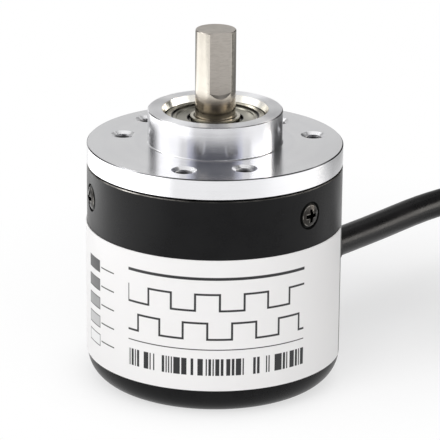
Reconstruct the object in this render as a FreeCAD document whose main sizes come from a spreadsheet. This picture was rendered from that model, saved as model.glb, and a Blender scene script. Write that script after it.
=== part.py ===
"""Incremental rotary encoder: flange, housing, bearings, shaft, code disc, reader, board and cable.

The axis of the shaft is Z, the origin is the middle of the housing's underside, and all sizes are in
millimetres. Angles count from +X towards +Y; the front of the encoder looks towards -Y.
"""
import FreeCAD, Part
import math
import os
import Sketcher

Vector = FreeCAD.Vector
UP = Vector(0, 0, 1)
LEFT_TURN = 1
RIGHT_TURN = -1
FULL_TURN = 360.0
QUARTER_TURN = FULL_TURN / 4
COUNTERSINK_ANGLE = 120.0
TINY = 1e-9
VOLUME_TOLERANCE = 0.01
WIRE_COLOURS = ("red", "black", "green", "white", "grey")
MIDDLE_WIRE = (len(WIRE_COLOURS) - 1) / 2

# Driving dimensions, one row of the sheet each
SIZES = (
    ("body_diameter", 38.0, "outside of the housing and of the flange rim"),
    ("body_length", 36.5, "underside of the housing to the mounting face"),
    ("rim_thickness", 3.1, "visible edge of the flange"),
    ("rim_chamfer", 0.15, "upper edge of the rim"),
    ("rim_under_chamfer", 0.15, "lower edge of the rim"),
    ("spigot_depth", 7.8, "part of the flange inside the housing"),
    ("spigot_clearance", 0.05, "radial room between spigot and housing"),
    ("boss_diameter", 20.0, "pilot boss"),
    ("boss_height", 5.0, "pilot boss above the mounting face"),
    ("boss_chamfer", 0.15, "upper edge of the boss"),
    ("boss_base_radius", 0.15, "hollow corner at the foot of the boss"),
    ("mount_count", 3, "tapped holes on each circle"),
    ("mount_drill", 2.5, "core of an M3 thread"),
    ("mount_depth", 6.0, "depth of the tapped holes"),
    ("mount_countersink", 3.7, "mouth of the tapped holes"),
    ("outer_hole_inset", 4.0, "outer hole circle inside the rim"),
    ("inner_hole_inset", 5.0, "inner hole circle inside the rim"),
    ("outer_hole_turn", 253.0, "angle of the first outer hole"),
    ("inner_hole_turn", 288.0, "angle of the first inner hole"),
    ("housing_wall", 1.5, "side wall of the housing"),
    ("housing_floor", 1.5, "closed end of the housing"),
    ("housing_bottom_radius", 4.2, "rounded lower edge"),
    ("housing_edge_chamfer", 0.3, "upper edge of the housing"),
    ("screw_count", 3, "screws that hold the housing"),
    ("screw_turn", 317.0, "angle of the first housing screw"),
    ("screw_drop", 4.1, "housing screws below the rim"),
    ("screw_core", 1.6, "core of an M2 thread"),
    ("screw_length", 4.6, "housing screw under its head's upper edge"),
    ("screw_hole", 2.2, "clear hole for an M2 screw"),
    ("screw_head", 3.8, "head of a housing screw"),
    ("screw_dome", 0.5, "height of the head's dome"),
    ("screw_countersink", 4.2, "mouth of the countersink in the housing"),
    ("screw_play", 0.02, "room between a screw and its thread or seat"),
    ("screw_hole_end", 0.6, "thread past the end of a screw"),
    ("cross_length", 2.0, "cross recess, end to end"),
    ("cross_width", 0.6, "cross recess, width of a slot"),
    ("cross_depth", 0.75, "cross recess, depth"),
    ("label_bottom", 4.3, "lower edge of the label"),
    ("label_height", 20.1, "height of the label"),
    ("label_thickness", 0.12, "label film"),
    ("label_glue", 0.03, "adhesive under the film"),
    ("label_start", 133.0, "angle of the label's rear end"),
    ("label_wrap", 215.0, "angle that the label covers"),
    ("bearing_bore", 6.0, "bearing on the shaft"),
    ("bearing_outside", 15.0, "bearing in its seat"),
    ("bearing_width", 5.0, "both bearings"),
    ("bearing_fit", 0.01, "radial room of the rings on their seats"),
    ("bearing_recess", 1.0, "front bearing below the boss's face"),
    ("bearing_gap", 4.0, "shoulder between the two bearings"),
    ("bearing_mouth_flare", 0.4, "mouth of the front seat wider than the seat"),
    ("bearing_step", 0.9, "shoulder that the bearings rest on"),
    ("ring_chamfer", 0.25, "corners of the bearing rings"),
    ("ball_count", 7, "balls in each bearing"),
    ("ball_diameter", 2.4, "bearing balls"),
    ("ball_play", 0.05, "room between ball and race"),
    ("race_ratio", 1.05, "hollow of the races over the ball"),
    ("inner_land", 0.8, "inner ring beside its race, inside the ball circle"),
    ("inner_face", 0.75, "inner ring's faces below its land"),
    ("inner_step", 0.75, "depth of the step beside the inner face"),
    ("outer_land", 0.85, "outer ring beside its race, outside the ball circle"),
    ("shield_seat", 0.3, "shield's rim outside the outer ring's land"),
    ("shield_reach", 0.3, "shield inside the inner ring's land"),
    ("shield_thickness", 0.22, "shield sheet"),
    ("shield_inset", 0.25, "shield's rim below the ring's face"),
    ("shield_dish", 0.15, "shield's middle below its rim"),
    ("shield_rim", 0.55, "width of the shield's raised rim"),
    ("cage_thickness", 1.0, "cage ring, radially"),
    ("cage_bridge", 0.35, "cage ring beside its pockets"),
    ("pocket_play", 0.06, "room between ball and cage"),
    ("shaft_reach", 12.1, "shaft beyond the boss's face"),
    ("shaft_chamfer", 0.12, "tip of the shaft"),
    ("shaft_end_chamfer", 0.3, "inner end of the shaft"),
    ("shaft_tail", 0.5, "shaft past the code disc's hub"),
    ("flat_length", 9.9, "flat from the tip down"),
    ("flat_depth", 0.5, "depth of the flat"),
    ("flat_cutter", 9.4, "cutter that rounds the flat's lower end"),
    ("flat_run_out", 0.5, "bevel of that cutter's edge"),
    ("flat_turn", 287.0, "direction that the flat faces"),
    ("collar_step", 0.8, "shaft collar between the bearings"),
    ("relief_width", 0.6, "undercut in the shaft under the front bearing's face"),
    ("relief_depth", 0.2, "depth of that undercut"),
    ("head_gap", 0.4, "reader below the flange"),
    ("head_upper", 3.0, "reader arm above the disc"),
    ("head_slot", 1.6, "reader slot for the disc"),
    ("head_lower", 1.5, "reader arm below the disc"),
    ("head_width", 7.0, "reader across the radius"),
    ("head_reach", 3.9, "reader arms over the disc's edge"),
    ("head_web_gap", 0.7, "reader web outside the disc"),
    ("head_wall_gap", 0.7, "reader inside the housing"),
    ("head_turn", 167.0, "angle of the reader"),
    ("track_inset", 1.3, "code track inside the disc's edge"),
    ("disc_thickness", 0.6, "code disc"),
    ("disc_gap", 0.6, "disc's edge to the board posts"),
    ("hub_play", 0.02, "room of the disc and its ring on the hub"),
    ("hub_gap", 2.1, "hub's plate to the reader"),
    ("hub_plate", 1.0, "thickness of the hub's plate"),
    ("hub_spigot", 1.0, "wall of the hub's spigot through the disc"),
    ("hub_barrel", 2.5, "wall of the hub's barrel"),
    ("hub_nose", 0.8, "wall of the hub's nose against the bearing"),
    ("hub_nose_length", 0.5, "length of the nose"),
    ("clamp_width", 2.5, "ring under the disc, across"),
    ("clamp_thickness", 0.6, "ring under the disc"),
    ("grub_diameter", 1.9, "set screws of the hub"),
    ("grub_socket", 0.9, "socket of the set screws"),
    ("grub_inset", 0.15, "set screw below the barrel's surface"),
    ("grub_turn", 20.0, "angle of the first set screw"),
    ("emitter_diameter", 3.0, "light source"),
    ("emitter_height", 2.1, "light source"),
    ("emitter_lens", 0.9, "height of its lens"),
    ("emitter_play", 0.03, "room round the light source"),
    ("emitter_lift", 0.2, "lens above the slot"),
    ("wire_pair", 1.27, "distance between the emitter's leads"),
    ("thin_wire", 0.45, "emitter's leads"),
    ("thin_bend", 0.9, "bend of the emitter's leads"),
    ("lead_channel", 1.3, "channel for them in the reader's back"),
    ("detector_length", 3.6, "light detector across the radius"),
    ("detector_width", 2.6, "light detector along the radius"),
    ("detector_height", 0.5, "light detector"),
    ("mask_height", 0.4, "mask over the detector"),
    ("mask_inset", 0.1, "mask below the slot"),
    ("detector_play", 0.05, "room round detector and mask"),
    ("board_thickness", 1.6, "circuit board"),
    ("board_gap", 0.2, "board inside the housing"),
    ("post_count", 3, "posts that carry the board"),
    ("post_turn", 107.0, "angle of the first post"),
    ("post_diameter", 2.8, "board posts"),
    ("post_inset", 1.7, "post circle inside the board's edge"),
    ("stud_diameter", 2.0, "threaded end of a post"),
    ("stud_length", 3.0, "threaded end of a post"),
    ("post_hole", 3.6, "depth of the thread in a post"),
    ("pan_diameter", 3.4, "head of a board screw"),
    ("pan_height", 1.3, "head of a board screw"),
    ("pan_corner", 0.5, "rounding of that head"),
    ("pan_screw_length", 4.6, "board screw under its head"),
    ("chip_length", 8.7, "signal chip"),
    ("chip_width", 3.9, "signal chip"),
    ("chip_height", 1.45, "signal chip"),
    ("chip_lift", 0.1, "chip body off the board"),
    ("chip_span", 6.0, "chip over its legs"),
    ("chip_leg", 0.45, "width and thickness of a leg"),
    ("chip_pitch", 1.27, "legs of the chip"),
    ("chip_pairs", 7, "legs on each side"),
    ("chip_inset", 7.0, "chip inside the post circle"),
    ("chip_turn", 227.0, "angle of the chip"),
    ("resistor_length", 2.0, "chip resistors"),
    ("resistor_width", 1.25, "chip resistors"),
    ("resistor_height", 0.5, "chip resistors"),
    ("resistor_count", 5, "chip resistors"),
    ("resistor_pitch", 2.4, "chip resistors"),
    ("resistor_inset", 9.6, "row of resistors inside the board's edge"),
    ("resistor_turn", 310.0, "angle of the row of resistors"),
    ("capacitor_diameter", 5.0, "filter capacitor"),
    ("capacitor_height", 5.4, "filter capacitor"),
    ("capacitor_corner", 0.4, "rounded end of its can"),
    ("capacitor_inset", 8.2, "capacitor inside the board's edge"),
    ("capacitor_turn", 140.0, "angle of the capacitor"),
    ("cable_diameter", 4.5, "cable jacket"),
    ("cable_turn", 46.7, "direction in which the cable leaves"),
    ("cable_inside", 4.1, "jacket inside the housing's bore"),
    ("cable_straight", 6.6, "cable straight out of the boot"),
    ("cable_play", 0.02, "room round the jacket"),
    ("grommet_wall", 1.05, "grommet between cable and housing"),
    ("grommet_play", 0.03, "room of the grommet in its hole"),
    ("grommet_lip", 0.6, "inner lip round the hole"),
    ("grommet_lip_length", 1.0, "inner lip of the grommet"),
    ("lip_gap", 0.1, "inner lip below the board"),
    ("grommet_collar", 1.0, "outer collar round the hole"),
    ("grommet_collar_length", 1.4, "outer collar of the grommet"),
    ("grommet_boot", 1.35, "wall of the boot at the collar"),
    ("grommet_nose", 0.5, "wall of the boot at its tip"),
    ("grommet_boot_length", 6.0, "boot beyond the collar"),
    ("crimp_wall", 0.4, "wall of the pull-out stop on the cable"),
    ("crimp_length", 2.0, "pull-out stop on the cable"),
    ("crimp_gap", 0.1, "stop behind the grommet"),
    ("wire_diameter", 0.9, "insulated wire"),
    ("wire_spread", 0.6, "wires side by side in the jacket"),
    ("wire_stagger", 0.5, "wires above and below its middle"),
    ("pad_pitch", 1.8, "wires at the board"),
    ("pad_shift", 0.7, "row of wires at the board, to one side"),
    ("pad_inset", 9.0, "wires at the board, inside its edge"),
    ("coil_x", 73.0, "middle of the coil"),
    ("coil_y", 16.5, "middle of the coil"),
    ("coil_radius", 24.75, "middle of the coil's turns"),
    ("coil_lanes", 3, "turns side by side and in height"),
    ("coil_entry", 65.0, "angle where the cable meets the coil"),
    ("tie_turn", 215.0, "angle of the tie on the coil"),
    ("tie_width", 2.5, "tie band"),
    ("tie_thickness", 0.8, "tie band"),
    ("tie_play", 0.1, "room beside the band"),
    ("tie_head", 3.6, "tie head, square side"),
    ("tie_head_depth", 2.6, "tie head, outwards"),
    ("sleeve_wall", 0.4, "shrink sleeve at the cable's end"),
    ("sleeve_length", 8.0, "shrink sleeve"),
    ("sleeve_lap", 4.0, "sleeve over the jacket"),
    ("lead_length", 20.0, "wire ends beyond the jacket"),
    ("lead_spread", 1.7, "wire ends, side by side"),
    ("lead_swing", 3.8, "wire ends outside the coil's middle at their bend"),
    ("tip_diameter", 0.5, "tinned tip of a wire end"),
    ("tip_length", 3.5, "tinned tip of a wire end"),
)

doc = FreeCAD.newDocument("rotary_encoder")
sheet = doc.addObject("Spreadsheet::Sheet", "Sizes")
for row, (alias, number, note) in enumerate(SIZES, start=1):
    sheet.set(f"A{row}", note)
    sheet.set(f"B{row}", str(number))
    sheet.setAlias(f"B{row}", alias)
doc.recompute()

# Places that several pieces share, as expressions of the sheet
BODY_R = "(Sizes.body_diameter / 2)"
BORE_R = f"({BODY_R} - Sizes.housing_wall)"
FLANGE_Z = "Sizes.body_length"
RIM_Z = "(Sizes.body_length - Sizes.rim_thickness)"
SPIGOT_Z = f"({RIM_Z} - Sizes.spigot_depth)"
SPIGOT_R = f"({BORE_R} - Sizes.spigot_clearance)"
SCREW_Z = f"({RIM_Z} - Sizes.screw_drop)"
BOSS_R = "(Sizes.boss_diameter / 2)"
BOSS_Z = "(Sizes.body_length + Sizes.boss_height)"
SEAT_R = "(Sizes.bearing_outside / 2)"
FRONT_TOP = f"({BOSS_Z} - Sizes.bearing_recess)"
FRONT_Z = f"({FRONT_TOP} - Sizes.bearing_width)"
REAR_TOP = f"({FRONT_Z} - Sizes.bearing_gap)"
REAR_Z = f"({REAR_TOP} - Sizes.bearing_width)"
SHAFT_R = "(Sizes.bearing_bore / 2)"
BALL_CIRCLE = "((Sizes.bearing_bore + Sizes.bearing_outside) / 4)"
RACE_R = "(Sizes.race_ratio * Sizes.ball_diameter / 2)"
INNER_LAND = f"({BALL_CIRCLE} - Sizes.inner_land)"
OUTER_LAND = f"({BALL_CIRCLE} + Sizes.outer_land)"
SHIELD_R = f"({OUTER_LAND} + Sizes.shield_seat)"
HEAD_TOP = f"({SPIGOT_Z} - Sizes.head_gap)"
SLOT_TOP = f"({HEAD_TOP} - Sizes.head_upper)"
SLOT_BOTTOM = f"({SLOT_TOP} - Sizes.head_slot)"
BOARD_TOP = f"({SLOT_BOTTOM} - Sizes.head_lower)"
BOARD_Z = f"({BOARD_TOP} - Sizes.board_thickness)"
DISC_TOP = f"({SLOT_BOTTOM} + (Sizes.head_slot + Sizes.disc_thickness) / 2)"
DISC_Z = f"({DISC_TOP} - Sizes.disc_thickness)"
CLAMP_Z = f"({DISC_Z} - Sizes.clamp_thickness)"
BARREL_Z = f"({DISC_TOP} + Sizes.hub_plate)"
BARREL_TOP = f"({REAR_Z} - Sizes.hub_nose_length)"
BOARD_R = f"({BORE_R} - Sizes.board_gap)"
POST_CIRCLE = f"({BOARD_R} - Sizes.post_inset)"
DISC_R = f"({POST_CIRCLE} - Sizes.post_diameter / 2 - Sizes.disc_gap)"
TRACK_R = f"({DISC_R} - Sizes.track_inset)"
HEAD_IN = f"({DISC_R} - Sizes.head_reach)"
HEAD_WEB = f"({DISC_R} + Sizes.head_web_gap)"
HEAD_OUT = f"({BORE_R} - Sizes.head_wall_gap)"
CABLE_R = "(Sizes.cable_diameter / 2)"
CABLE_START = f"({BORE_R} - Sizes.cable_inside)"
GROMMET_HOLE = f"({CABLE_R} + Sizes.grommet_wall)"
LIP_R = f"({GROMMET_HOLE} + Sizes.grommet_lip)"
CABLE_Z = f"({BOARD_Z} - {LIP_R} - Sizes.lip_gap)"
COLLAR_END = f"({BODY_R} + Sizes.grommet_collar_length)"
BOOT_END = f"({COLLAR_END} + Sizes.grommet_boot_length)"
COIL_HALF = "(Sizes.coil_lanes * Sizes.cable_diameter / 2)"
COIL_IN = f"(Sizes.coil_radius - {COIL_HALF})"
COIL_OUT = f"(Sizes.coil_radius + {COIL_HALF})"
COIL_TOP = "(Sizes.coil_lanes * Sizes.cable_diameter)"

nodes = {}


def value(expression):
    """The number that an expression of the sheet has now."""
    result = sheet.evalExpression(str(expression))
    return float(getattr(result, "Value", result))


def count(alias):
    """A whole number from the sheet."""
    return round(value(f"Sizes.{alias}"))


def node(label, item):
    """Names a finished piece, which is written to the file of that name."""
    item.Label = label
    nodes[label] = item
    return item


def new_body(name):
    return doc.addObject("PartDesign::Body", name)


def origin_part(body, role):
    """A plane or axis of the body's own origin."""
    return next(part for part in body.Origin.OriginFeatures if part.Role == role)


def arc_between(start, end, radius, turn):
    """The arc from start to end that turns left or right with the given radius."""
    chord = end - start
    half = chord.Length / 2
    side = Vector(-chord.y, chord.x, 0).normalize() * turn
    rise = math.sqrt(max(radius ** 2 - half ** 2, 0))
    centre = (start + end) / 2 + side * rise
    middle = centre - side * radius
    return Part.Arc(start, middle, end)


def outline(body, name, plane, corners, turn=None, lift=None):
    """A closed outline with every corner tied to the sheet.

    A corner is (x, y), or (x, y, radius, turn) where an arc leads to the next corner. The plane can be
    turned about the body's axis and lifted along its own normal.
    """
    sketch = body.newObject("Sketcher::SketchObject", name)
    sketch.AttachmentSupport = (origin_part(body, plane), "")
    sketch.MapMode = "FlatFace"
    if turn is not None:
        sketch.AttachmentOffset = FreeCAD.Placement(Vector(), FreeCAD.Rotation(Vector(0, 1, 0), value(turn)))
        sketch.setExpression("AttachmentOffset.Rotation.Angle", turn)
    if lift is not None:
        sketch.setExpression("AttachmentOffset.Base.z", lift)
    add_loop(sketch, corners)
    return sketch


def add_loop(sketch, corners):
    """Adds one closed loop to a sketch."""
    points = [Vector(value(corner[0]), value(corner[1]), 0) for corner in corners]
    first = sketch.GeometryCount
    edges = []
    for index, corner in enumerate(corners):
        start = points[index]
        end = points[(index + 1) % len(points)]
        if len(corner) == 2:
            edges.append(Part.LineSegment(start, end))
        else:
            edges.append(arc_between(start, end, value(corner[2]), corner[3]))
    sketch.addGeometry(edges, False)
    starts = [2 if len(corner) == 4 and corner[3] == RIGHT_TURN else 1 for corner in corners]
    joints = []
    for index in range(len(corners)):
        after = (index + 1) % len(corners)
        joints.append(Sketcher.Constraint("Coincident", first + index, 3 - starts[index],
                                          first + after, starts[after]))
    sketch.addConstraint(joints)
    for index, corner in enumerate(corners):
        vertex = (first + index, starts[index])
        tie_coordinate(sketch, "DistanceX", vertex, corner[0])
        tie_coordinate(sketch, "DistanceY", vertex, corner[1])
        if len(corner) == 4:
            place = sketch.addConstraint(Sketcher.Constraint("Radius", first + index, value(corner[2])))
            sketch.setExpression(f"Constraints[{place}]", corner[2])


def tie_coordinate(sketch, kind, vertex, expression):
    """Holds one coordinate of a corner at an expression of the sheet."""
    number = value(expression)
    root = (-1, 1)
    if abs(number) < TINY:
        axis = -2 if kind == "DistanceX" else -1
        sketch.addConstraint(Sketcher.Constraint("PointOnObject", *vertex, axis))
    elif number > 0:
        place = sketch.addConstraint(Sketcher.Constraint(kind, *root, *vertex, number))
        sketch.setExpression(f"Constraints[{place}]", expression)
    else:
        place = sketch.addConstraint(Sketcher.Constraint(kind, *vertex, *root, -number))
        sketch.setExpression(f"Constraints[{place}]", f"-({expression})")


def revolve(body, sketch, axis="V_Axis", angle=None):
    """Turns an outline into a solid about one of the sketch's axes."""
    feature = body.newObject("PartDesign::Revolution", f"{sketch.Name}_turn")
    feature.Profile = sketch
    feature.ReferenceAxis = (sketch, [axis])
    feature.Angle = FULL_TURN
    if angle is not None:
        feature.setExpression("Angle", angle)
    doc.recompute()
    return feature


def turned(label, corners, axis="V_Axis"):
    """A body of one outline, turned all the way round."""
    body = new_body(label)
    revolve(body, outline(body, f"{label}_outline", "XZ_Plane", corners), axis)
    return body


def pad(body, sketch, length):
    """Thickens an outline to both sides of its plane."""
    feature = body.newObject("PartDesign::Pad", f"{sketch.Name}_pad")
    feature.Profile = sketch
    feature.SideType = "Symmetric"
    feature.setExpression("Length", length)
    doc.recompute()
    return feature


def take_away(body, feature):
    """Recomputes a cut and makes sure that it took material away."""
    before = body.Shape.Volume
    body.Tip = feature
    doc.recompute()
    if not body.Shape.Volume < before:
        raise ValueError(f"{feature.Name} takes nothing away")
    return feature


def pocket(body, sketch, length, symmetric=False, reverse=False):
    """Cuts an outline out of a body."""
    feature = body.newObject("PartDesign::Pocket", f"{sketch.Name}_pocket")
    feature.Profile = sketch
    feature.Type = "Length"
    feature.SideType = "Symmetric" if symmetric else "One side"
    feature.Reversed = reverse
    feature.setExpression("Length", length)
    return take_away(body, feature)


def radial_hole(body, name, turn, height, steps):
    """Cuts a stepped round hole along a radius.

    The steps are (distance from the axis, hole radius) pairs, from the inner end to the outer one.
    """
    inner = steps[0][0]
    outer = steps[-1][0]
    corners = [(inner, height)]
    corners += [(distance, f"{height} + {radius}") for distance, radius in steps]
    corners += [(outer, height)]
    sketch = outline(body, f"{name}_outline", "XZ_Plane", corners, turn)
    bottom_edge = len(corners) - 1
    feature = body.newObject("PartDesign::Groove", name)
    feature.Profile = sketch
    feature.ReferenceAxis = (sketch, [f"Edge{bottom_edge + 1}"])
    feature.Angle = FULL_TURN
    return take_away(body, feature)


def around(body, name, feature, number):
    """Repeats a feature evenly about the body's axis."""
    pattern = body.newObject("PartDesign::PolarPattern", name)
    pattern.Originals = [feature]
    pattern.Axis = (origin_part(body, "Z_Axis"), [""])
    pattern.Angle = FULL_TURN
    pattern.setExpression("Occurrences", number)
    return take_away(body, pattern)


def axial_holes(body, name, radius, turn, height, drill, depth, number, countersink=None, upwards=False):
    """Drills flat-ended holes along the axis, evenly spaced on a circle."""
    sketch = body.newObject("Sketcher::SketchObject", f"{name}_place")
    sketch.AttachmentSupport = (origin_part(body, "XY_Plane"), "")
    sketch.MapMode = "FlatFace"
    sketch.setExpression("AttachmentOffset.Base.z", height)
    spot = Vector(value(f"{radius} * cos({turn})"), value(f"{radius} * sin({turn})"), 0)
    sketch.addGeometry(Part.Circle(spot, UP, value(drill) / 2), False)
    place = sketch.addConstraint(Sketcher.Constraint("Radius", 0, value(drill) / 2))
    sketch.setExpression(f"Constraints[{place}]", f"{drill} / 2")
    tie_coordinate(sketch, "DistanceX", (0, 3), f"{radius} * cos({turn})")
    tie_coordinate(sketch, "DistanceY", (0, 3), f"{radius} * sin({turn})")
    doc.recompute()
    hole = body.newObject("PartDesign::Hole", f"{name}_hole")
    hole.Profile = sketch
    hole.Threaded = False
    hole.ThreadType = 0
    hole.DepthType = "Dimension"
    hole.DrillPoint = "Flat"
    hole.Reversed = upwards
    hole.setExpression("Diameter", drill)
    hole.setExpression("Depth", depth)
    if countersink is not None:
        hole.HoleCutType = "Countersink"
        hole.HoleCutCustomValues = True
        hole.HoleCutCountersinkAngle = COUNTERSINK_ANGLE
        hole.setExpression("HoleCutDiameter", countersink)
    take_away(body, hole)
    return around(body, name, hole, number)


def stand(item, turn="0", height="0", radius="0", centre=("0", "0")):
    """Places a piece at an angle about the axis, a height and a distance from a centre."""
    item.Placement = FreeCAD.Placement(Vector(), FreeCAD.Rotation(UP, value(turn)))
    item.setExpression("Placement.Rotation.Angle", turn)
    item.setExpression("Placement.Base.x", f"{centre[0]} + {radius} * cos({turn})")
    item.setExpression("Placement.Base.y", f"{centre[1]} + {radius} * sin({turn})")
    item.setExpression("Placement.Base.z", height)
    return item


def group(label, members):
    """Several alike pieces as one node of separate solids."""
    for number, member in enumerate(members, start=1):
        member.Label = f"{label} {number}"
    together = doc.addObject("Part::Compound", label)
    together.Links = members
    doc.recompute()
    return node(label, together)


def evenly(index, first, number):
    """The angle of one of several places spread evenly about the axis."""
    return f"({first} + {index} * {FULL_TURN} / {number})"


def radial_box(name, turn, reach, length, width, bottom, height, shift="0"):
    """A block whose sides lie along and across a radius, shifted sideways from it."""
    box = doc.addObject("Part::Box", name)
    box.setExpression("Length", length)
    box.setExpression("Width", width)
    box.setExpression("Height", height)
    box.Placement = FreeCAD.Placement(Vector(), FreeCAD.Rotation(UP, value(turn)))
    box.setExpression("Placement.Rotation.Angle", turn)
    aside = f"({width} / 2 - {shift})"
    box.setExpression("Placement.Base.x", f"{reach} * cos({turn}) + {aside} * sin({turn})")
    box.setExpression("Placement.Base.y", f"{reach} * sin({turn}) - {aside} * cos({turn})")
    box.setExpression("Placement.Base.z", bottom)
    doc.recompute()
    return box


def cross_recess(body, name, plane, lift, reverse=False):
    """Sinks a cross recess into a screw head."""
    length = "Sizes.cross_length / 2"
    width = "Sizes.cross_width / 2"
    quarter = ((length, width), (width, width), (width, length))
    corners = []
    for across, along in ((1, 1), (-1, 1), (-1, -1), (1, -1)):
        stretch = quarter if across * along > 0 else quarter[::-1]
        corners += [(f"{across} * {x}", f"{along} * {y}") for x, y in stretch]
    sketch = outline(body, name, plane, corners, lift=lift)
    return pocket(body, sketch, "Sizes.cross_depth + Sizes.screw_dome", reverse=reverse)


def tube(label, points, diameter, largest=math.inf):
    """A round tube along straight runs, with arcs at the corners as large as the runs or a limit allow."""
    share = 0.45
    edges = []
    radii = []
    last = points[0]
    for before, corner, after in zip(points, points[1:], points[2:]):
        back = (before - corner).normalize()
        ahead = (after - corner).normalize()
        half_turn = (math.pi - back.getAngle(ahead)) / 2
        room = share * min((before - corner).Length, (after - corner).Length)
        radius = min(room / math.tan(half_turn), largest)
        trim = radius * math.tan(half_turn)
        inward = (back + ahead).normalize()
        middle = corner + inward * (radius / math.cos(half_turn) - radius)
        edges.append(Part.LineSegment(last, corner + back * trim).toShape())
        edges.append(Part.Arc(corner + back * trim, middle, corner + ahead * trim).toShape())
        last = corner + ahead * trim
        radii.append(round(radius, 1))
    edges.append(Part.LineSegment(last, points[-1]).toShape())
    path = Part.Wire(edges)
    ring = Part.Circle(points[0], points[1] - points[0], diameter / 2)
    solid = path.makePipeShell([Part.Wire(ring.toShape())], True, True)
    section = math.pi * diameter ** 2 / 4
    if abs(solid.Volume / (section * path.Length) - 1) > VOLUME_TOLERANCE:
        raise ValueError(f"{label} has a wrong volume")
    print(label, "length", round(path.Length, 1), "radii", radii)
    item = doc.addObject("Part::Feature", label)
    item.Shape = solid
    item.Placement = FreeCAD.Placement()
    return item


def polar(radius, angle, height, centre=Vector()):
    """A point at a distance and an angle from an upright axis."""
    turn = math.radians(angle)
    return centre + Vector(radius * math.cos(turn), radius * math.sin(turn), height)


def make_flange():
    """Flange, pilot boss and spigot in one turned piece."""
    body = turned("mounting_flange", [
        (SEAT_R, SPIGOT_Z),
        (SPIGOT_R, SPIGOT_Z),
        (SPIGOT_R, RIM_Z),
        (f"{BODY_R} - Sizes.rim_under_chamfer", RIM_Z),
        (BODY_R, f"{RIM_Z} + Sizes.rim_under_chamfer"),
        (BODY_R, f"{FLANGE_Z} - Sizes.rim_chamfer"),
        (f"{BODY_R} - Sizes.rim_chamfer", FLANGE_Z),
        (f"{BOSS_R} + Sizes.boss_base_radius", FLANGE_Z, "Sizes.boss_base_radius", RIGHT_TURN),
        (BOSS_R, f"{FLANGE_Z} + Sizes.boss_base_radius"),
        (BOSS_R, f"{BOSS_Z} - Sizes.boss_chamfer"),
        (f"{BOSS_R} - Sizes.boss_chamfer", BOSS_Z),
        (f"{SEAT_R} + Sizes.bearing_mouth_flare", BOSS_Z),
        (SEAT_R, FRONT_TOP),
        (SEAT_R, FRONT_Z),
        (f"{SEAT_R} - Sizes.bearing_step", FRONT_Z),
        (f"{SEAT_R} - Sizes.bearing_step", REAR_TOP),
        (SEAT_R, REAR_TOP),
    ])
    for side in ("outer", "inner"):
        axial_holes(body, f"{side}_mount_holes", f"({BODY_R} - Sizes.{side}_hole_inset)",
                    f"Sizes.{side}_hole_turn", FLANGE_Z, "Sizes.mount_drill", "Sizes.mount_depth",
                    "Sizes.mount_count", "Sizes.mount_countersink")
    thread = "(Sizes.screw_core / 2 + Sizes.screw_play)"
    depth = f"({BODY_R} - Sizes.screw_length - Sizes.screw_hole_end)"
    hole = radial_hole(body, "screw_thread", "Sizes.screw_turn", SCREW_Z,
                       [(depth, thread), (BODY_R, thread)])
    around(body, "screw_threads", hole, "Sizes.screw_count")
    axial_holes(body, "post_threads", POST_CIRCLE, "Sizes.post_turn", SPIGOT_Z,
                "(Sizes.stud_diameter + 2 * Sizes.screw_play)", "(Sizes.stud_length + Sizes.screw_hole_end)",
                "Sizes.post_count", upwards=True)
    node("mounting_flange", body)


def make_housing():
    """Cup with a rounded lower edge, countersunk screw holes and the cable's hole."""
    inner_radius = "(Sizes.housing_bottom_radius - Sizes.housing_wall)"
    body = turned("housing", [
        ("0", "0"),
        (f"{BODY_R} - Sizes.housing_bottom_radius", "0", "Sizes.housing_bottom_radius", LEFT_TURN),
        (BODY_R, "Sizes.housing_bottom_radius"),
        (BODY_R, f"{RIM_Z} - Sizes.housing_edge_chamfer"),
        (f"{BODY_R} - Sizes.housing_edge_chamfer", RIM_Z),
        (BORE_R, RIM_Z),
        (BORE_R, f"Sizes.housing_floor + {inner_radius}", inner_radius, RIGHT_TURN),
        (f"{BORE_R} - {inner_radius}", "Sizes.housing_floor"),
        ("0", "Sizes.housing_floor"),
    ])
    clear = "Sizes.screw_hole / 2"
    mouth = "Sizes.screw_countersink / 2"
    past = "Sizes.housing_wall"
    hole = radial_hole(body, "screw_hole", "Sizes.screw_turn", SCREW_Z, [
        (f"{BORE_R} - {past}", clear),
        (f"{BODY_R} - ({mouth} - {clear})", clear),
        (f"{BODY_R} + {past}", f"{mouth} + {past}"),
    ])
    around(body, "screw_holes", hole, "Sizes.screw_count")
    radial_hole(body, "cable_hole", "Sizes.cable_turn", CABLE_Z, [
        (f"{BORE_R} - {past}", GROMMET_HOLE),
        (f"{BODY_R} + {past}", GROMMET_HOLE),
    ])
    node("housing", body)


def make_housing_screws():
    """Countersunk cross-head screws along three radii."""
    head_r = "(Sizes.screw_head / 2)"
    core = "(Sizes.screw_core / 2)"
    top = f"({BODY_R} - (Sizes.screw_countersink - Sizes.screw_head) / 2 + Sizes.screw_play)"
    tip = f"({top} - Sizes.screw_length)"
    dome = f"(({head_r} ^ 2 + Sizes.screw_dome ^ 2) / (2 * Sizes.screw_dome))"
    screws = []
    for index in range(count("screw_count")):
        screw = turned(f"housing_screw_{index}", [
            (tip, "0"),
            (f"{top} + Sizes.screw_dome", "0", dome, LEFT_TURN),
            (top, head_r),
            (f"{top} - ({head_r} - {core})", core),
            (f"{tip} + {core} / 2", core),
            (tip, f"{core} / 2"),
        ], axis="H_Axis")
        cross_recess(screw, f"housing_screw_{index}_cross", "YZ_Plane", f"{top} + Sizes.screw_dome")
        turn = evenly(index, "Sizes.screw_turn", "Sizes.screw_count")
        screws.append(stand(screw, turn, SCREW_Z))
    group("housing_screws", screws)


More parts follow.
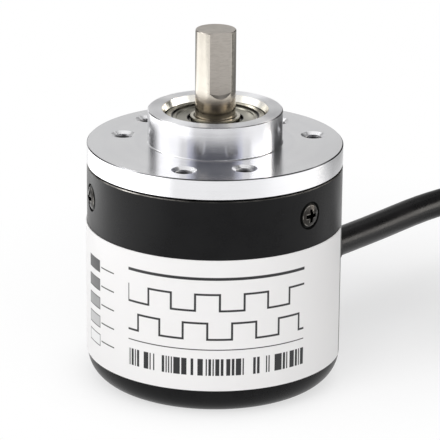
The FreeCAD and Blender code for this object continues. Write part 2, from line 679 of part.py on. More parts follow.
def make_label():
    """Film stuck round the housing."""
    body = new_body("label")
    inside = f"({BODY_R} + Sizes.label_glue)"
    outside = f"({inside} + Sizes.label_thickness)"
    top = "(Sizes.label_bottom + Sizes.label_height)"
    sketch = outline(body, "label_edge", "XZ_Plane", [
        (inside, "Sizes.label_bottom"),
        (outside, "Sizes.label_bottom"),
        (outside, top),
        (inside, top),
    ], turn="Sizes.label_start")
    revolve(body, sketch, angle="Sizes.label_wrap")
    node("label", body)


def make_bearing(side, bottom):
    """Shielded ball bearing: two rings, two shields, balls and cage."""
    top = f"({bottom} + Sizes.bearing_width)"
    middle = f"({bottom} + Sizes.bearing_width / 2)"
    make_outer_ring(f"{side}_bearing_outer_ring", bottom, top, middle)
    make_inner_ring(f"{side}_bearing_inner_ring", bottom, top, middle)
    shields = [make_shield(f"{side}_shield_upper", top, -1), make_shield(f"{side}_shield_lower", bottom, 1)]
    group(f"{side}_bearing_shields", shields)
    balls = []
    for index in range(count("ball_count")):
        ball = doc.addObject("Part::Sphere", f"{side}_ball_{index}")
        ball.setExpression("Radius", "Sizes.ball_diameter / 2")
        balls.append(stand(ball, evenly(index, "0", "Sizes.ball_count"), middle, BALL_CIRCLE))
    group(f"{side}_bearing_balls", balls)
    make_cage(f"{side}_bearing_cage", middle)


def make_outer_ring(label, bottom, top, middle):
    """Outer ring with its race and the seats of both shields."""
    outside = f"({SEAT_R} - Sizes.bearing_fit)"
    corner = "Sizes.ring_chamfer"
    ledge = "(Sizes.shield_inset + Sizes.shield_thickness)"
    race_middle = f"({BALL_CIRCLE} + Sizes.ball_diameter / 2 + Sizes.ball_play - {RACE_R})"
    half = f"sqrt({RACE_R} ^ 2 - ({OUTER_LAND} - {race_middle}) ^ 2)"
    node(label, turned(label, [
        (SHIELD_R, bottom),
        (f"{outside} - {corner}", bottom),
        (outside, f"{bottom} + {corner}"),
        (outside, f"{top} - {corner}"),
        (f"{outside} - {corner}", top),
        (SHIELD_R, top),
        (SHIELD_R, f"{top} - {ledge}"),
        (OUTER_LAND, f"{top} - {ledge}"),
        (OUTER_LAND, f"{middle} + {half}", RACE_R, RIGHT_TURN),
        (OUTER_LAND, f"{middle} - {half}"),
        (OUTER_LAND, f"{bottom} + {ledge}"),
        (SHIELD_R, f"{bottom} + {ledge}"),
    ]))


def make_inner_ring(label, bottom, top, middle):
    """Inner ring with its race and a step that the shields reach over."""
    inside = f"({SHAFT_R} + Sizes.bearing_fit)"
    corner = "Sizes.ring_chamfer"
    face = f"({INNER_LAND} - Sizes.inner_face)"
    race_middle = f"({BALL_CIRCLE} - Sizes.ball_diameter / 2 - Sizes.ball_play + {RACE_R})"
    half = f"sqrt({RACE_R} ^ 2 - ({race_middle} - {INNER_LAND}) ^ 2)"
    node(label, turned(label, [
        (f"{inside} + {corner}", bottom),
        (face, bottom),
        (face, f"{bottom} + Sizes.inner_step"),
        (INNER_LAND, f"{bottom} + Sizes.inner_step"),
        (INNER_LAND, f"{middle} - {half}", RACE_R, RIGHT_TURN),
        (INNER_LAND, f"{middle} + {half}"),
        (INNER_LAND, f"{top} - Sizes.inner_step"),
        (face, f"{top} - Sizes.inner_step"),
        (face, top),
        (f"{inside} + {corner}", top),
        (inside, f"{top} - {corner}"),
        (inside, f"{bottom} + {corner}"),
    ]))


def make_shield(label, face, inward):
    """Dished sheet ring whose rim sits on the ledge of the outer ring."""
    bend_out = f"({SHIELD_R} - Sizes.shield_rim)"
    bend_in = f"({bend_out} - Sizes.shield_dish)"
    bore = f"({INNER_LAND} - Sizes.shield_reach)"
    rim = f"({face} + {inward} * Sizes.shield_inset)"
    rim_under = f"({rim} + {inward} * Sizes.shield_thickness)"
    dish = f"({rim} + {inward} * Sizes.shield_dish)"
    dish_under = f"({dish} + {inward} * Sizes.shield_thickness)"
    return turned(label, [
        (bore, dish_under),
        (bend_in, dish_under),
        (bend_out, rim_under),
        (SHIELD_R, rim_under),
        (SHIELD_R, rim),
        (bend_out, rim),
        (bend_in, dish),
        (bore, dish),
    ])


def make_cage(label, middle):
    """Ring with a round pocket for each ball."""
    inside = f"({BALL_CIRCLE} - Sizes.cage_thickness / 2)"
    outside = f"({BALL_CIRCLE} + Sizes.cage_thickness / 2)"
    half = "(Sizes.ball_diameter / 2 + Sizes.cage_bridge)"
    body = turned(label, [
        (inside, f"{middle} - {half}"),
        (outside, f"{middle} - {half}"),
        (outside, f"{middle} + {half}"),
        (inside, f"{middle} + {half}"),
    ])
    hollow = body.newObject("PartDesign::SubtractiveSphere", f"{label}_pocket")
    hollow.AttachmentSupport = (origin_part(body, "XY_Plane"), "")
    hollow.MapMode = "FlatFace"
    sideways = FreeCAD.Rotation(Vector(0, 1, 0), QUARTER_TURN)
    hollow.AttachmentOffset = FreeCAD.Placement(Vector(), sideways)
    hollow.setExpression("Radius", "Sizes.ball_diameter / 2 + Sizes.pocket_play")
    hollow.setExpression("AttachmentOffset.Base.x", BALL_CIRCLE)
    hollow.setExpression("AttachmentOffset.Base.z", middle)
    take_away(body, hollow)
    around(body, f"{label}_pockets", hollow, "Sizes.ball_count")
    node(label, body)


def make_shaft():
    """Shaft with a collar between the bearings, an undercut seat and a flat on its free end."""
    end = f"({CLAMP_Z} - Sizes.shaft_tail)"
    tip = f"({BOSS_Z} + Sizes.shaft_reach)"
    collar = f"({SHAFT_R} + Sizes.collar_step)"
    body = turned("shaft", [
        ("0", end),
        (f"{SHAFT_R} - Sizes.shaft_end_chamfer", end),
        (SHAFT_R, f"{end} + Sizes.shaft_end_chamfer"),
        (SHAFT_R, REAR_TOP),
        (collar, REAR_TOP),
        (collar, FRONT_Z),
        (SHAFT_R, FRONT_Z),
        (SHAFT_R, f"{FRONT_TOP} - Sizes.relief_width"),
        (f"{SHAFT_R} - Sizes.relief_depth", f"{FRONT_TOP} - Sizes.relief_width"),
        (f"{SHAFT_R} - Sizes.relief_depth", FRONT_TOP),
        (SHAFT_R, FRONT_TOP),
        (SHAFT_R, f"{tip} - Sizes.shaft_chamfer"),
        (f"{SHAFT_R} - Sizes.shaft_chamfer", tip),
        ("0", tip),
    ])
    face = f"({SHAFT_R} - Sizes.flat_depth)"
    cutter = "(Sizes.flat_cutter / 2)"
    middle = f"({tip} - Sizes.flat_length + {cutter})"
    sketch = outline(body, "shaft_flat", "XZ_Plane", [
        (face, middle),
        (f"2 * {SHAFT_R}", middle),
        (f"2 * {SHAFT_R}", f"{tip} + {SHAFT_R}"),
        (face, f"{tip} + {SHAFT_R}"),
    ], turn="Sizes.flat_turn")
    pocket(body, sketch, f"4 * {SHAFT_R}", symmetric=True)
    radial_hole(body, "flat_foot", "Sizes.flat_turn", middle, [
        (face, f"{cutter} - Sizes.flat_run_out"),
        (f"{face} + Sizes.flat_run_out", cutter),
        (f"2 * {SHAFT_R}", cutter),
    ])
    node("shaft", body)


def make_disc_set():
    """Hub on the shaft with its set screws, the code disc and the ring that clamps it."""
    spigot = f"({SHAFT_R} + Sizes.hub_spigot)"
    barrel = f"({SHAFT_R} + Sizes.hub_barrel)"
    nose = f"({SHAFT_R} + Sizes.hub_nose)"
    bore = f"({SHAFT_R} + Sizes.bearing_fit)"
    hub = turned("disc_hub", [
        (bore, CLAMP_Z),
        (spigot, CLAMP_Z),
        (spigot, DISC_TOP),
        (f"{HEAD_IN} - Sizes.hub_gap", DISC_TOP),
        (f"{HEAD_IN} - Sizes.hub_gap", BARREL_Z),
        (barrel, BARREL_Z),
        (barrel, BARREL_TOP),
        (nose, BARREL_TOP),
        (nose, REAR_Z),
        (bore, REAR_Z),
    ])
    grub_z = f"(({BARREL_Z} + {BARREL_TOP}) / 2)"
    grub_r = "(Sizes.grub_diameter / 2)"
    thread = f"({grub_r} + Sizes.screw_play)"
    outer = f"({barrel} - Sizes.grub_inset)"
    inner = f"({SHAFT_R} + Sizes.screw_play)"
    socket = f"(({inner} + {outer}) / 2)"
    grubs = []
    for index, turn in enumerate(("Sizes.grub_turn", f"({QUARTER_TURN} + Sizes.grub_turn)")):
        radial_hole(hub, f"grub_hole_{index}", turn, grub_z,
                    [(f"{SHAFT_R} / 2", thread), (f"2 * {barrel}", thread)])
        grub = turned(f"grub_{index}", [
            (inner, "0"),
            (socket, "0"),
            (socket, "Sizes.grub_socket / 2"),
            (outer, "Sizes.grub_socket / 2"),
            (outer, grub_r),
            (inner, grub_r),
        ], axis="H_Axis")
        grubs.append(stand(grub, turn, grub_z))
    node("disc_hub", hub)
    group("hub_set_screws", grubs)
    hole = f"({spigot} + Sizes.hub_play)"
    clamp = f"({spigot} + Sizes.clamp_width)"
    for label, bottom, top, outside in (("code_disc", DISC_Z, DISC_TOP, DISC_R),
                                        ("disc_clamp_ring", CLAMP_Z, DISC_Z, clamp)):
        node(label, turned(label, [(hole, bottom), (outside, bottom), (outside, top), (hole, top)]))


def make_reader():
    """Reader that straddles the code disc, with its light source, detector and mask."""
    body = new_body("optical_head")
    turn = "Sizes.head_turn"
    sketch = outline(body, "optical_head_side", "XZ_Plane", [
        (HEAD_IN, BOARD_TOP),
        (HEAD_OUT, BOARD_TOP),
        (HEAD_OUT, HEAD_TOP),
        (HEAD_IN, HEAD_TOP),
        (HEAD_IN, SLOT_TOP),
        (HEAD_WEB, SLOT_TOP),
        (HEAD_WEB, SLOT_BOTTOM),
        (HEAD_IN, SLOT_BOTTOM),
    ], turn=turn)
    pad(body, sketch, "Sizes.head_width")
    emitter_r = "(Sizes.emitter_diameter / 2)"
    lens_z = f"({SLOT_TOP} + Sizes.emitter_lift)"
    emitter_top = f"({lens_z} + Sizes.emitter_height)"
    play = "Sizes.emitter_play"
    add_side_pocket(body, "emitter_seat", turn, TRACK_R, f"{emitter_r} + {play}", f"{emitter_r} + {play}",
                    SLOT_TOP, HEAD_TOP, round_hole=True)
    mask_top = f"({SLOT_BOTTOM} - Sizes.mask_inset)"
    mask_z = f"({mask_top} - Sizes.mask_height)"
    detector_z = f"({mask_z} - Sizes.detector_height)"
    half_along = "(Sizes.detector_width / 2)"
    half_across = "(Sizes.detector_length / 2)"
    room = "Sizes.detector_play"
    add_side_pocket(body, "detector_seat", turn, TRACK_R, f"{half_along} + {room}", f"{half_across} + {room}",
                    detector_z, SLOT_BOTTOM)
    lead_z = f"({emitter_top} + Sizes.thin_wire / 2)"
    groove_middle = f"({TRACK_R} + {HEAD_OUT}) / 2"
    groove_half = f"({HEAD_OUT} - {TRACK_R}) / 2"
    groove_side = "Sizes.wire_pair / 2 + Sizes.thin_wire"
    add_side_pocket(body, "lead_groove", turn, groove_middle, groove_half, groove_side,
                    emitter_top, HEAD_TOP)
    add_side_pocket(body, "lead_channel", turn, f"({HEAD_OUT} - Sizes.lead_channel / 2)",
                    "Sizes.lead_channel / 2", groove_side, BOARD_TOP, emitter_top)
    node("optical_head", body)

    lens = f"(({emitter_r} ^ 2 + Sizes.emitter_lens ^ 2) / (2 * Sizes.emitter_lens))"
    emitter = turned("emitter", [
        ("0", lens_z, lens, LEFT_TURN),
        (emitter_r, f"{lens_z} + Sizes.emitter_lens"),
        (emitter_r, emitter_top),
        ("0", emitter_top),
    ])
    node("emitter", stand(emitter, turn, radius=TRACK_R))
    reach = f"({TRACK_R} - {half_along})"
    node("detector", radial_box("detector", turn, reach, "Sizes.detector_width", "Sizes.detector_length",
                                detector_z, "Sizes.detector_height"))
    node("scanning_mask", radial_box("scanning_mask", turn, reach, "Sizes.detector_width",
                                     "Sizes.detector_length", mask_z, "Sizes.mask_height"))
    make_emitter_leads(lead_z)


def add_side_pocket(body, name, turn, reach, half_along, half_across, bottom, top, round_hole=False):
    """Sinks a round or square seat, centred on a radius, from one height down to another."""
    sketch = body.newObject("Sketcher::SketchObject", name)
    sketch.AttachmentSupport = (origin_part(body, "XY_Plane"), "")
    sketch.MapMode = "FlatFace"
    sketch.AttachmentOffset = FreeCAD.Placement(Vector(), FreeCAD.Rotation(UP, value(turn)))
    sketch.setExpression("AttachmentOffset.Rotation.Angle", turn)
    sketch.setExpression("AttachmentOffset.Base.z", top)
    if round_hole:
        sketch.addGeometry(Part.Circle(Vector(value(reach), 0, 0), UP, value(half_along)), False)
        place = sketch.addConstraint(Sketcher.Constraint("Radius", 0, value(half_along)))
        sketch.setExpression(f"Constraints[{place}]", half_along)
        tie_coordinate(sketch, "DistanceX", (0, 3), reach)
        tie_coordinate(sketch, "DistanceY", (0, 3), "0")
    else:
        near = f"{reach} - ({half_along})"
        far = f"{reach} + {half_along}"
        add_loop(sketch, [(near, f"-({half_across})"), (far, f"-({half_across})"),
                          (far, half_across), (near, half_across)])
    pocket(body, sketch, f"{top} - {bottom}")


def make_emitter_leads(lead_z):
    """Two bent leads from the light source, down the channel in the reader's back, to the board."""
    turn = value("Sizes.head_turn")
    wire = value("Sizes.thin_wire")
    bend = value("Sizes.thin_bend")
    back = value(HEAD_OUT) - wire / 2
    leads = []
    for side in (-1, 1):
        across = polar(side * value("Sizes.wire_pair") / 2, turn + QUARTER_TURN, 0)
        height = value(lead_z)
        points = [polar(value(TRACK_R), turn, height) + across, polar(back, turn, height) + across,
                  polar(back, turn, value(BOARD_TOP)) + across]
        leads.append(tube(f"emitter_lead_{side}", points, wire, bend))
    group("emitter_leads", leads)


def make_board():
    """Round circuit board on three posts, with its screws and its parts."""
    body = turned("circuit_board", [
        ("0", BOARD_Z),
        (BOARD_R, BOARD_Z),
        (BOARD_R, BOARD_TOP),
        ("0", BOARD_TOP),
    ])
    axial_holes(body, "board_holes", POST_CIRCLE, "Sizes.post_turn", BOARD_TOP, "Sizes.screw_hole",
                "2 * Sizes.board_thickness", "Sizes.post_count")
    node("circuit_board", body)
    posts = []
    screws = []
    core = "(Sizes.screw_core / 2)"
    thread = f"({core} + Sizes.screw_play)"
    stud = "(Sizes.stud_diameter / 2)"
    post_r = "(Sizes.post_diameter / 2)"
    pan_r = "(Sizes.pan_diameter / 2)"
    pan_z = f"({BOARD_Z} - Sizes.pan_height)"
    tip = f"({BOARD_Z} + Sizes.pan_screw_length)"
    for index in range(count("post_count")):
        turn = evenly(index, "Sizes.post_turn", "Sizes.post_count")
        post = turned(f"board_post_{index}", [
            ("0", f"{BOARD_TOP} + Sizes.post_hole"),
            (thread, f"{BOARD_TOP} + Sizes.post_hole"),
            (thread, BOARD_TOP),
            (post_r, BOARD_TOP),
            (post_r, SPIGOT_Z),
            (stud, SPIGOT_Z),
            (stud, f"{SPIGOT_Z} + Sizes.stud_length"),
            ("0", f"{SPIGOT_Z} + Sizes.stud_length"),
        ])
        posts.append(stand(post, turn, radius=POST_CIRCLE))
        screw = turned(f"board_screw_{index}", [
            ("0", pan_z),
            (f"{pan_r} - Sizes.pan_corner", pan_z, "Sizes.pan_corner", LEFT_TURN),
            (pan_r, f"{pan_z} + Sizes.pan_corner"),
            (pan_r, BOARD_Z),
            (core, BOARD_Z),
            (core, tip),
            ("0", tip),
        ])
        cross_recess(screw, f"board_screw_{index}_cross", "XY_Plane", pan_z, reverse=True)
        screws.append(stand(screw, turn, radius=POST_CIRCLE))
    group("board_posts", posts)
    group("board_screws", screws)
    make_chip()
    make_small_parts()


def make_chip():
    """Signal chip under the board with a row of legs on each side."""
    turn = "Sizes.chip_turn"
    under = f"({BOARD_Z} - Sizes.chip_lift - Sizes.chip_height)"
    middle = f"({POST_CIRCLE} - Sizes.chip_inset)"
    pieces = [radial_box("chip_case", turn, f"({middle} - Sizes.chip_width / 2)", "Sizes.chip_width",
                         "Sizes.chip_length", under, "Sizes.chip_height")]
    leg_height = "(Sizes.chip_lift + Sizes.chip_height / 2)"
    for number in range(count("chip_pairs")):
        shift = f"(({number} - (Sizes.chip_pairs - 1) / 2) * Sizes.chip_pitch)"
        pieces.append(radial_box(f"chip_leg_{number}", turn, f"({middle} - Sizes.chip_span / 2)",
                                 "Sizes.chip_span", "Sizes.chip_leg", f"({BOARD_Z} - {leg_height})",
                                 leg_height, shift))
    chip = doc.addObject("Part::MultiFuse", "signal_chip")
    chip.Shapes = pieces
    doc.recompute()
    node("signal_chip", chip)


def make_small_parts():
    """Chip resistors and the filter capacitor under the board."""
    turn = "Sizes.resistor_turn"
    resistors = []
    for number in range(count("resistor_count")):
        shift = f"(({number} - (Sizes.resistor_count - 1) / 2) * Sizes.resistor_pitch)"
        resistors.append(radial_box(f"resistor_{number}", turn, f"({BOARD_R} - Sizes.resistor_inset)",
                                    "Sizes.resistor_length", "Sizes.resistor_width",
                                    f"({BOARD_Z} - Sizes.resistor_height)", "Sizes.resistor_height", shift))
    group("chip_resistors", resistors)
    can = "(Sizes.capacitor_diameter / 2)"
    bottom = f"({BOARD_Z} - Sizes.capacitor_height)"
    capacitor = turned("filter_capacitor", [
        ("0", bottom),
        (f"{can} - Sizes.capacitor_corner", bottom, "Sizes.capacitor_corner", LEFT_TURN),
        (can, f"{bottom} + Sizes.capacitor_corner"),
        (can, BOARD_Z),
        ("0", BOARD_Z),
    ])
    reach = f"({BOARD_R} - Sizes.capacitor_inset)"
    node("filter_capacitor", stand(capacitor, "Sizes.capacitor_turn", radius=reach))


def make_grommet():
    """Rubber bushing in the housing wall with a saddle-shaped collar, and the stop on the cable."""
    body = new_body("cable_grommet")
    collar = f"({GROMMET_HOLE} + Sizes.grommet_collar)"
    lip_end = f"(sqrt({BORE_R} ^ 2 - {LIP_R} ^ 2) - Sizes.grommet_play)"
    neck = f"({GROMMET_HOLE} - Sizes.grommet_play)"
    outside = outline(body, "grommet_outside", "XZ_Plane", [
        (BORE_R, CABLE_Z),
        (BOOT_END, CABLE_Z),
        (BOOT_END, f"{CABLE_Z} + {CABLE_R} + Sizes.grommet_nose"),
        (COLLAR_END, f"{CABLE_Z} + {CABLE_R} + Sizes.grommet_boot"),
        (COLLAR_END, f"{CABLE_Z} + {collar}"),
        (BORE_R, f"{CABLE_Z} + {collar}"),
    ], turn="Sizes.cable_turn")
    revolve(body, outside, "Edge1")
    saddle = body.newObject("PartDesign::SubtractiveCylinder", "grommet_saddle")
    saddle.AttachmentSupport = (origin_part(body, "XY_Plane"), "")
    saddle.MapMode = "FlatFace"
    saddle.setExpression("Radius", f"{BODY_R} + Sizes.grommet_play")
    saddle.setExpression("Height", FLANGE_Z)
    take_away(body, saddle)
    inside = outline(body, "grommet_inside", "XZ_Plane", [
        (f"{lip_end} - Sizes.grommet_lip_length", CABLE_Z),
        (COLLAR_END, CABLE_Z),
        (COLLAR_END, f"{CABLE_Z} + {neck}"),
        (lip_end, f"{CABLE_Z} + {neck}"),
        (lip_end, f"{CABLE_Z} + {LIP_R}"),
        (f"{lip_end} - Sizes.grommet_lip_length", f"{CABLE_Z} + {LIP_R}"),
    ], turn="Sizes.cable_turn")
    revolve(body, inside, "Edge1")
    bore = f"({CABLE_R} + Sizes.cable_play)"
    radial_hole(body, "grommet_bore", "Sizes.cable_turn", CABLE_Z,
                [(CABLE_START, bore), (f"{BOOT_END} + Sizes.cable_diameter", bore)])
    node("cable_grommet", body)
    crimp_end = f"({lip_end} - Sizes.grommet_lip_length - Sizes.crimp_gap)"
    crimp_outside = f"({CABLE_R} + Sizes.crimp_wall)"
    crimp = turned("cable_crimp", [
        (f"{crimp_end} - Sizes.crimp_length", bore),
        (crimp_end, bore),
        (crimp_end, crimp_outside),
        (f"{crimp_end} - Sizes.crimp_length", crimp_outside),
    ], axis="H_Axis")
    node("cable_crimp", stand(crimp, "Sizes.cable_turn", CABLE_Z))


def wire_offset(index):
    """Place of one wire in the cable's section: across it and above its middle."""
    across = (index - MIDDLE_WIRE) * value("Sizes.wire_spread")
    above = value("Sizes.wire_stagger") * (1 if index % 2 else -1)
    return across, above


def make_board_wires():
    """Wires from the inner end of the cable to the underside of the board."""
    turn = value("Sizes.cable_turn")
    side = polar(1, turn + QUARTER_TURN, 0)
    start = value(CABLE_START)
    reach = value(f"{BOARD_R} - Sizes.pad_inset")
    for index, colour in enumerate(WIRE_COLOURS):
        across, above = wire_offset(index)
        height = value(CABLE_Z) + above
        pad_across = (index - MIDDLE_WIRE) * value("Sizes.pad_pitch") + value("Sizes.pad_shift")
        points = [polar(start, turn, height) + side * across,
                  polar((start + reach) / 2, turn, height) + side * across,
                  polar(reach, turn, height) + side * pad_across,
                  polar(reach, turn, value(BOARD_Z)) + side * pad_across]
        node(f"board_wire_{colour}", tube(f"board_wire_{colour}", points, value("Sizes.wire_diameter")))


def make_cable():
    """Cable from the housing to the coil, the coil's outer shape, and the end that lies on it."""
    diameter = value("Sizes.cable_diameter")
    exit_turn = value("Sizes.cable_turn")
    exit_z = value(CABLE_Z)
    centre = Vector(value("Sizes.coil_x"), value("Sizes.coil_y"), 0)
    entry = value("Sizes.coil_entry")
    outer_lane = value(f"{COIL_OUT} - {CABLE_R}")
    inner_lane = value(f"{COIL_IN} + {CABLE_R}")
    route = [
        polar(value(CABLE_START), exit_turn, exit_z),
        polar(value(f"{BOOT_END} + Sizes.cable_straight"), exit_turn, exit_z),
        Vector(35.9, 39.0, 13.4),
        Vector(45.6, 48.6, 11.5),
        Vector(58.9, 52.0, 7.5),
        Vector(72.7, 48.9, 3.5),
        polar(outer_lane, entry, diameter / 2, centre),
    ]
    node("cable_lead", tube("cable_lead", route, diameter))

    top = value(COIL_TOP)
    rest = top + value(f"{CABLE_R} + Sizes.sleeve_wall")
    tail = [
        polar(inner_lane, entry, top - diameter / 2, centre),
        polar(21.3, 38.0, top - 0.3, centre),
        polar(23.6, 12.0, rest, centre),
        polar(26.6, -12.0, rest, centre),
    ]
    node("cable_tail", tube("cable_tail", tail, diameter))
    make_wire_ends(tail[-2], tail[-1], centre)
    make_coil()


def make_coil():
    """Outer shape of the wound cable, drawn in by a tie band with a square head."""
    corner = CABLE_R

    def section(inset):
        """Rounded section of the coil, set in all round."""
        low = f"({COIL_IN} + {inset})"
        high = f"({COIL_OUT} - {inset})"
        bottom = f"({inset})"
        top = f"({COIL_TOP} - {inset})"
        return [
            (f"{low} + {corner}", bottom),
            (f"{high} - {corner}", bottom, corner, LEFT_TURN),
            (high, f"{bottom} + {corner}"),
            (high, f"{top} - {corner}", corner, LEFT_TURN),
            (f"{high} - {corner}", top),
            (f"{low} + {corner}", top, corner, LEFT_TURN),
            (low, f"{top} - {corner}"),
            (low, f"{bottom} + {corner}", corner, LEFT_TURN),
        ]

    middle = ("Sizes.coil_x", "Sizes.coil_y")
    coil = new_body("cable_coil")
    revolve(coil, outline(coil, "coil_section", "XZ_Plane", section("0")))
    far = f"({COIL_OUT} + {CABLE_R})"
    low = f"-{CABLE_R}"
    high = f"({COIL_TOP} + {CABLE_R})"
    room = [(CABLE_R, low), (far, low), (far, high), (CABLE_R, high)]
    notch = outline(coil, "tie_notch", "XZ_Plane", room, turn="Sizes.tie_turn")
    add_loop(notch, section("Sizes.tie_thickness"))
    pocket(coil, notch, "Sizes.tie_width + 2 * Sizes.tie_play", symmetric=True)
    node("cable_coil", stand(coil, centre=middle))

    tie = new_body("coil_tie")
    band = outline(tie, "tie_band", "XZ_Plane", section("0"))
    add_loop(band, section("Sizes.tie_thickness"))
    pad(tie, band, "Sizes.tie_width")
    half = "(Sizes.tie_head / 2)"
    head_middle = f"({COIL_TOP} / 2)"
    head = outline(tie, "tie_head", "XZ_Plane", [
        (f"{COIL_OUT} - Sizes.tie_thickness / 2", f"{head_middle} - {half}"),
        (f"{COIL_OUT} + Sizes.tie_head_depth", f"{head_middle} - {half}"),
        (f"{COIL_OUT} + Sizes.tie_head_depth", f"{head_middle} + {half}"),
        (f"{COIL_OUT} - Sizes.tie_thickness / 2", f"{head_middle} + {half}"),
    ])
    pad(tie, head, "Sizes.tie_width")
    node("coil_tie", stand(tie, "Sizes.tie_turn", centre=middle))


def make_wire_ends(before, end, centre):
    """Shrink sleeve on the jacket's end, and the wires that fan out of it on top of the coil."""
    diameter = value("Sizes.cable_diameter")
    ahead = (end - before).normalize()
    side = UP.cross(ahead)
    start = end - ahead * value("Sizes.sleeve_lap")
    outside = value(f"{CABLE_R} + Sizes.sleeve_wall")
    length = value("Sizes.sleeve_length")
    sleeve = doc.addObject("Part::Feature", "lead_sleeve")
    sleeve.Shape = Part.makeCylinder(outside, length, start, ahead).cut(
        Part.makeCylinder(diameter / 2 + value("Sizes.cable_play"), length, start, ahead))
    sleeve.Placement = FreeCAD.Placement()
    node("lead_sleeve", sleeve)

    wire = value("Sizes.wire_diameter")
    rest_z = value(COIL_TOP) + wire / 2
    ring = value("Sizes.coil_radius")
    end_angle = math.degrees(math.atan2(end.y - centre.y, end.x - centre.x))
    fan_angle = math.degrees(value("Sizes.lead_length") / ring)
    bend_share = 0.6
    fan_share = 0.8
    tip_r = value("Sizes.tip_diameter") / 2
    tips = []
    for index, colour in enumerate(WIRE_COLOURS):
        across, above = wire_offset(index)
        spread = (index - MIDDLE_WIRE) * value("Sizes.lead_spread")
        begin = end + side * across + UP * above
        mouth = begin + ahead * (length - value("Sizes.sleeve_lap"))
        lying_r = ring + value("Sizes.lead_swing") + fan_share * spread
        lying = polar(lying_r, end_angle - bend_share * fan_angle, rest_z, centre)
        last = polar(ring + spread, end_angle - fan_angle, rest_z, centre)
        node(f"lead_{colour}", tube(f"lead_{colour}", [begin, mouth, lying, last], wire))
        direction = (last - lying).normalize()
        tip = doc.addObject("Part::Feature", f"lead_tip_{colour}")
        tip.Shape = Part.makeCylinder(tip_r, value("Sizes.tip_length"), last, direction)
        tip.Placement = FreeCAD.Placement()
        tips.append(tip)
    group("lead_tips", tips)


def write_parts():
    """Checks every object and writes each piece to its own file."""
    doc.recompute()
    for item in doc.Objects:
        if {"Invalid", "Error"} & set(item.State):
            raise ValueError(f"{item.Label} failed: {item.State}")
    for label, item in nodes.items():
        if item.Shape.isNull() or not item.Shape.isValid() or not item.Shape.Solids:
            raise ValueError(f"{label} has no valid solid")
    os.makedirs("parts", exist_ok=True)
    for label, item in nodes.items():
        item.Shape.exportStep(f"parts/{label}.step")
    print(len(nodes), "pieces written")


make_flange()
make_housing()
make_housing_screws()
make_label()
make_bearing("front", FRONT_Z)
make_bearing("rear", REAR_Z)
make_shaft()
make_disc_set()
make_reader()
make_board()
make_grommet()
make_board_wires()
make_cable()
write_parts()
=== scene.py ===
"""Looks, light and camera of the incremental rotary encoder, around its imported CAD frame."""

import logging
import math
from dataclasses import dataclass
from enum import Enum
from functools import reduce
from typing import Sequence, Union

import bpy
from mathutils import Matrix, Vector


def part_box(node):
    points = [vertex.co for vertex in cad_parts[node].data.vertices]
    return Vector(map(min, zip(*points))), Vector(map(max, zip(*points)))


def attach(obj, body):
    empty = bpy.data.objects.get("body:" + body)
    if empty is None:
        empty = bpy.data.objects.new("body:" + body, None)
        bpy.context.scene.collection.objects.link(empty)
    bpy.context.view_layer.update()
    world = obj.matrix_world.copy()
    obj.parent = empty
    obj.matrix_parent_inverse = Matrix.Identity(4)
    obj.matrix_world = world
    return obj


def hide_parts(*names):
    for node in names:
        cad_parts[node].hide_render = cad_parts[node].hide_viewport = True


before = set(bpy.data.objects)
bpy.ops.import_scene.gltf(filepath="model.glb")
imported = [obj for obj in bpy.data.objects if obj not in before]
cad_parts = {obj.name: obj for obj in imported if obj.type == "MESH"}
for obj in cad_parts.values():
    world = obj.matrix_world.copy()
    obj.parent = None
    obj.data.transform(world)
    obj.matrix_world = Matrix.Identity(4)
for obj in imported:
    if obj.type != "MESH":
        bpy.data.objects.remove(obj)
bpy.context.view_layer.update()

Piece = bpy.types.Object
Node = bpy.types.Node
Socket = bpy.types.NodeSocket
Level = Union[float, Socket]
Colour = tuple[float, float, float]
Point = tuple[float, float, float]
Pair = tuple[float, float]

log = logging.getLogger("encoder")
STATOR = "stator"
MM = 0.001
FULL_TURN = 2 * math.pi
WHITE = (1.0, 1.0, 1.0)

# Share of a turn that lays stretched highlights across the rings round the shaft's axis.
ACROSS_RINGS = 0.25
# Half widths of the step at the edge of a mask, in millimetres.
SOFT = 0.02
CRISP = 0.015
STRIPE_SOFT = 0.03
# Colour inputs and colour output of a Mix node.
MIX_COLOURS = (6, 7)
MIX_RESULT = 2
# Cosine from which a face or an edge counts as lying one way.
IN_LINE = 0.999
# Angles from which an edge is rounded, and up to which it is shaded smooth.
SHARP_EDGE = math.radians(40)
SMOOTH_EDGE = math.radians(35)

# Sizes and places that several classes share, in millimetres and degrees.
BODY_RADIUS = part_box("mounting_flange")[1].x / MM
BOSS_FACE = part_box("mounting_flange")[1].z / MM
BOSS_HEIGHT = 5.0
FLANGE_FACE = BOSS_FACE - BOSS_HEIGHT
HOUSING_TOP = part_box("housing")[1].z / MM
LABEL_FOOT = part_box("label")[0].z / MM
SCREW_HEIGHT = sum(corner.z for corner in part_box("housing_screws")) / 2 / MM
SCREW_TURN = 317.0
SCREWS = 3
CABLE_DIAMETER = 4.5
COIL_LANES = 3
COIL_WIDTH = COIL_LANES * CABLE_DIAMETER
COIL_RADIUS = 5.5 * CABLE_DIAMETER
COIL_MIDDLE = (73.0, 16.5)
TIE_TURN = 215.0


class Side(Enum):
    """The encoder's two bearings."""

    FRONT = "front"
    REAR = "rear"


class Element(Enum):
    """Parts of a mesh, each with its switches for selecting in edit mode."""

    EDGE = (False, True, False)
    FACE = (False, False, True)


class Stand(Enum):
    """How a studio card stands, with its tilt in degrees."""

    FLAT = 0.0
    UPRIGHT = 90.0


class Ray(Enum):
    """Kinds of ray, each with the switch that shows an object to it."""

    CAMERA = "visible_camera"
    DIFFUSE = "visible_diffuse"
    GLOSSY = "visible_glossy"
    TRANSMISSION = "visible_transmission"
    SHADOW = "visible_shadow"


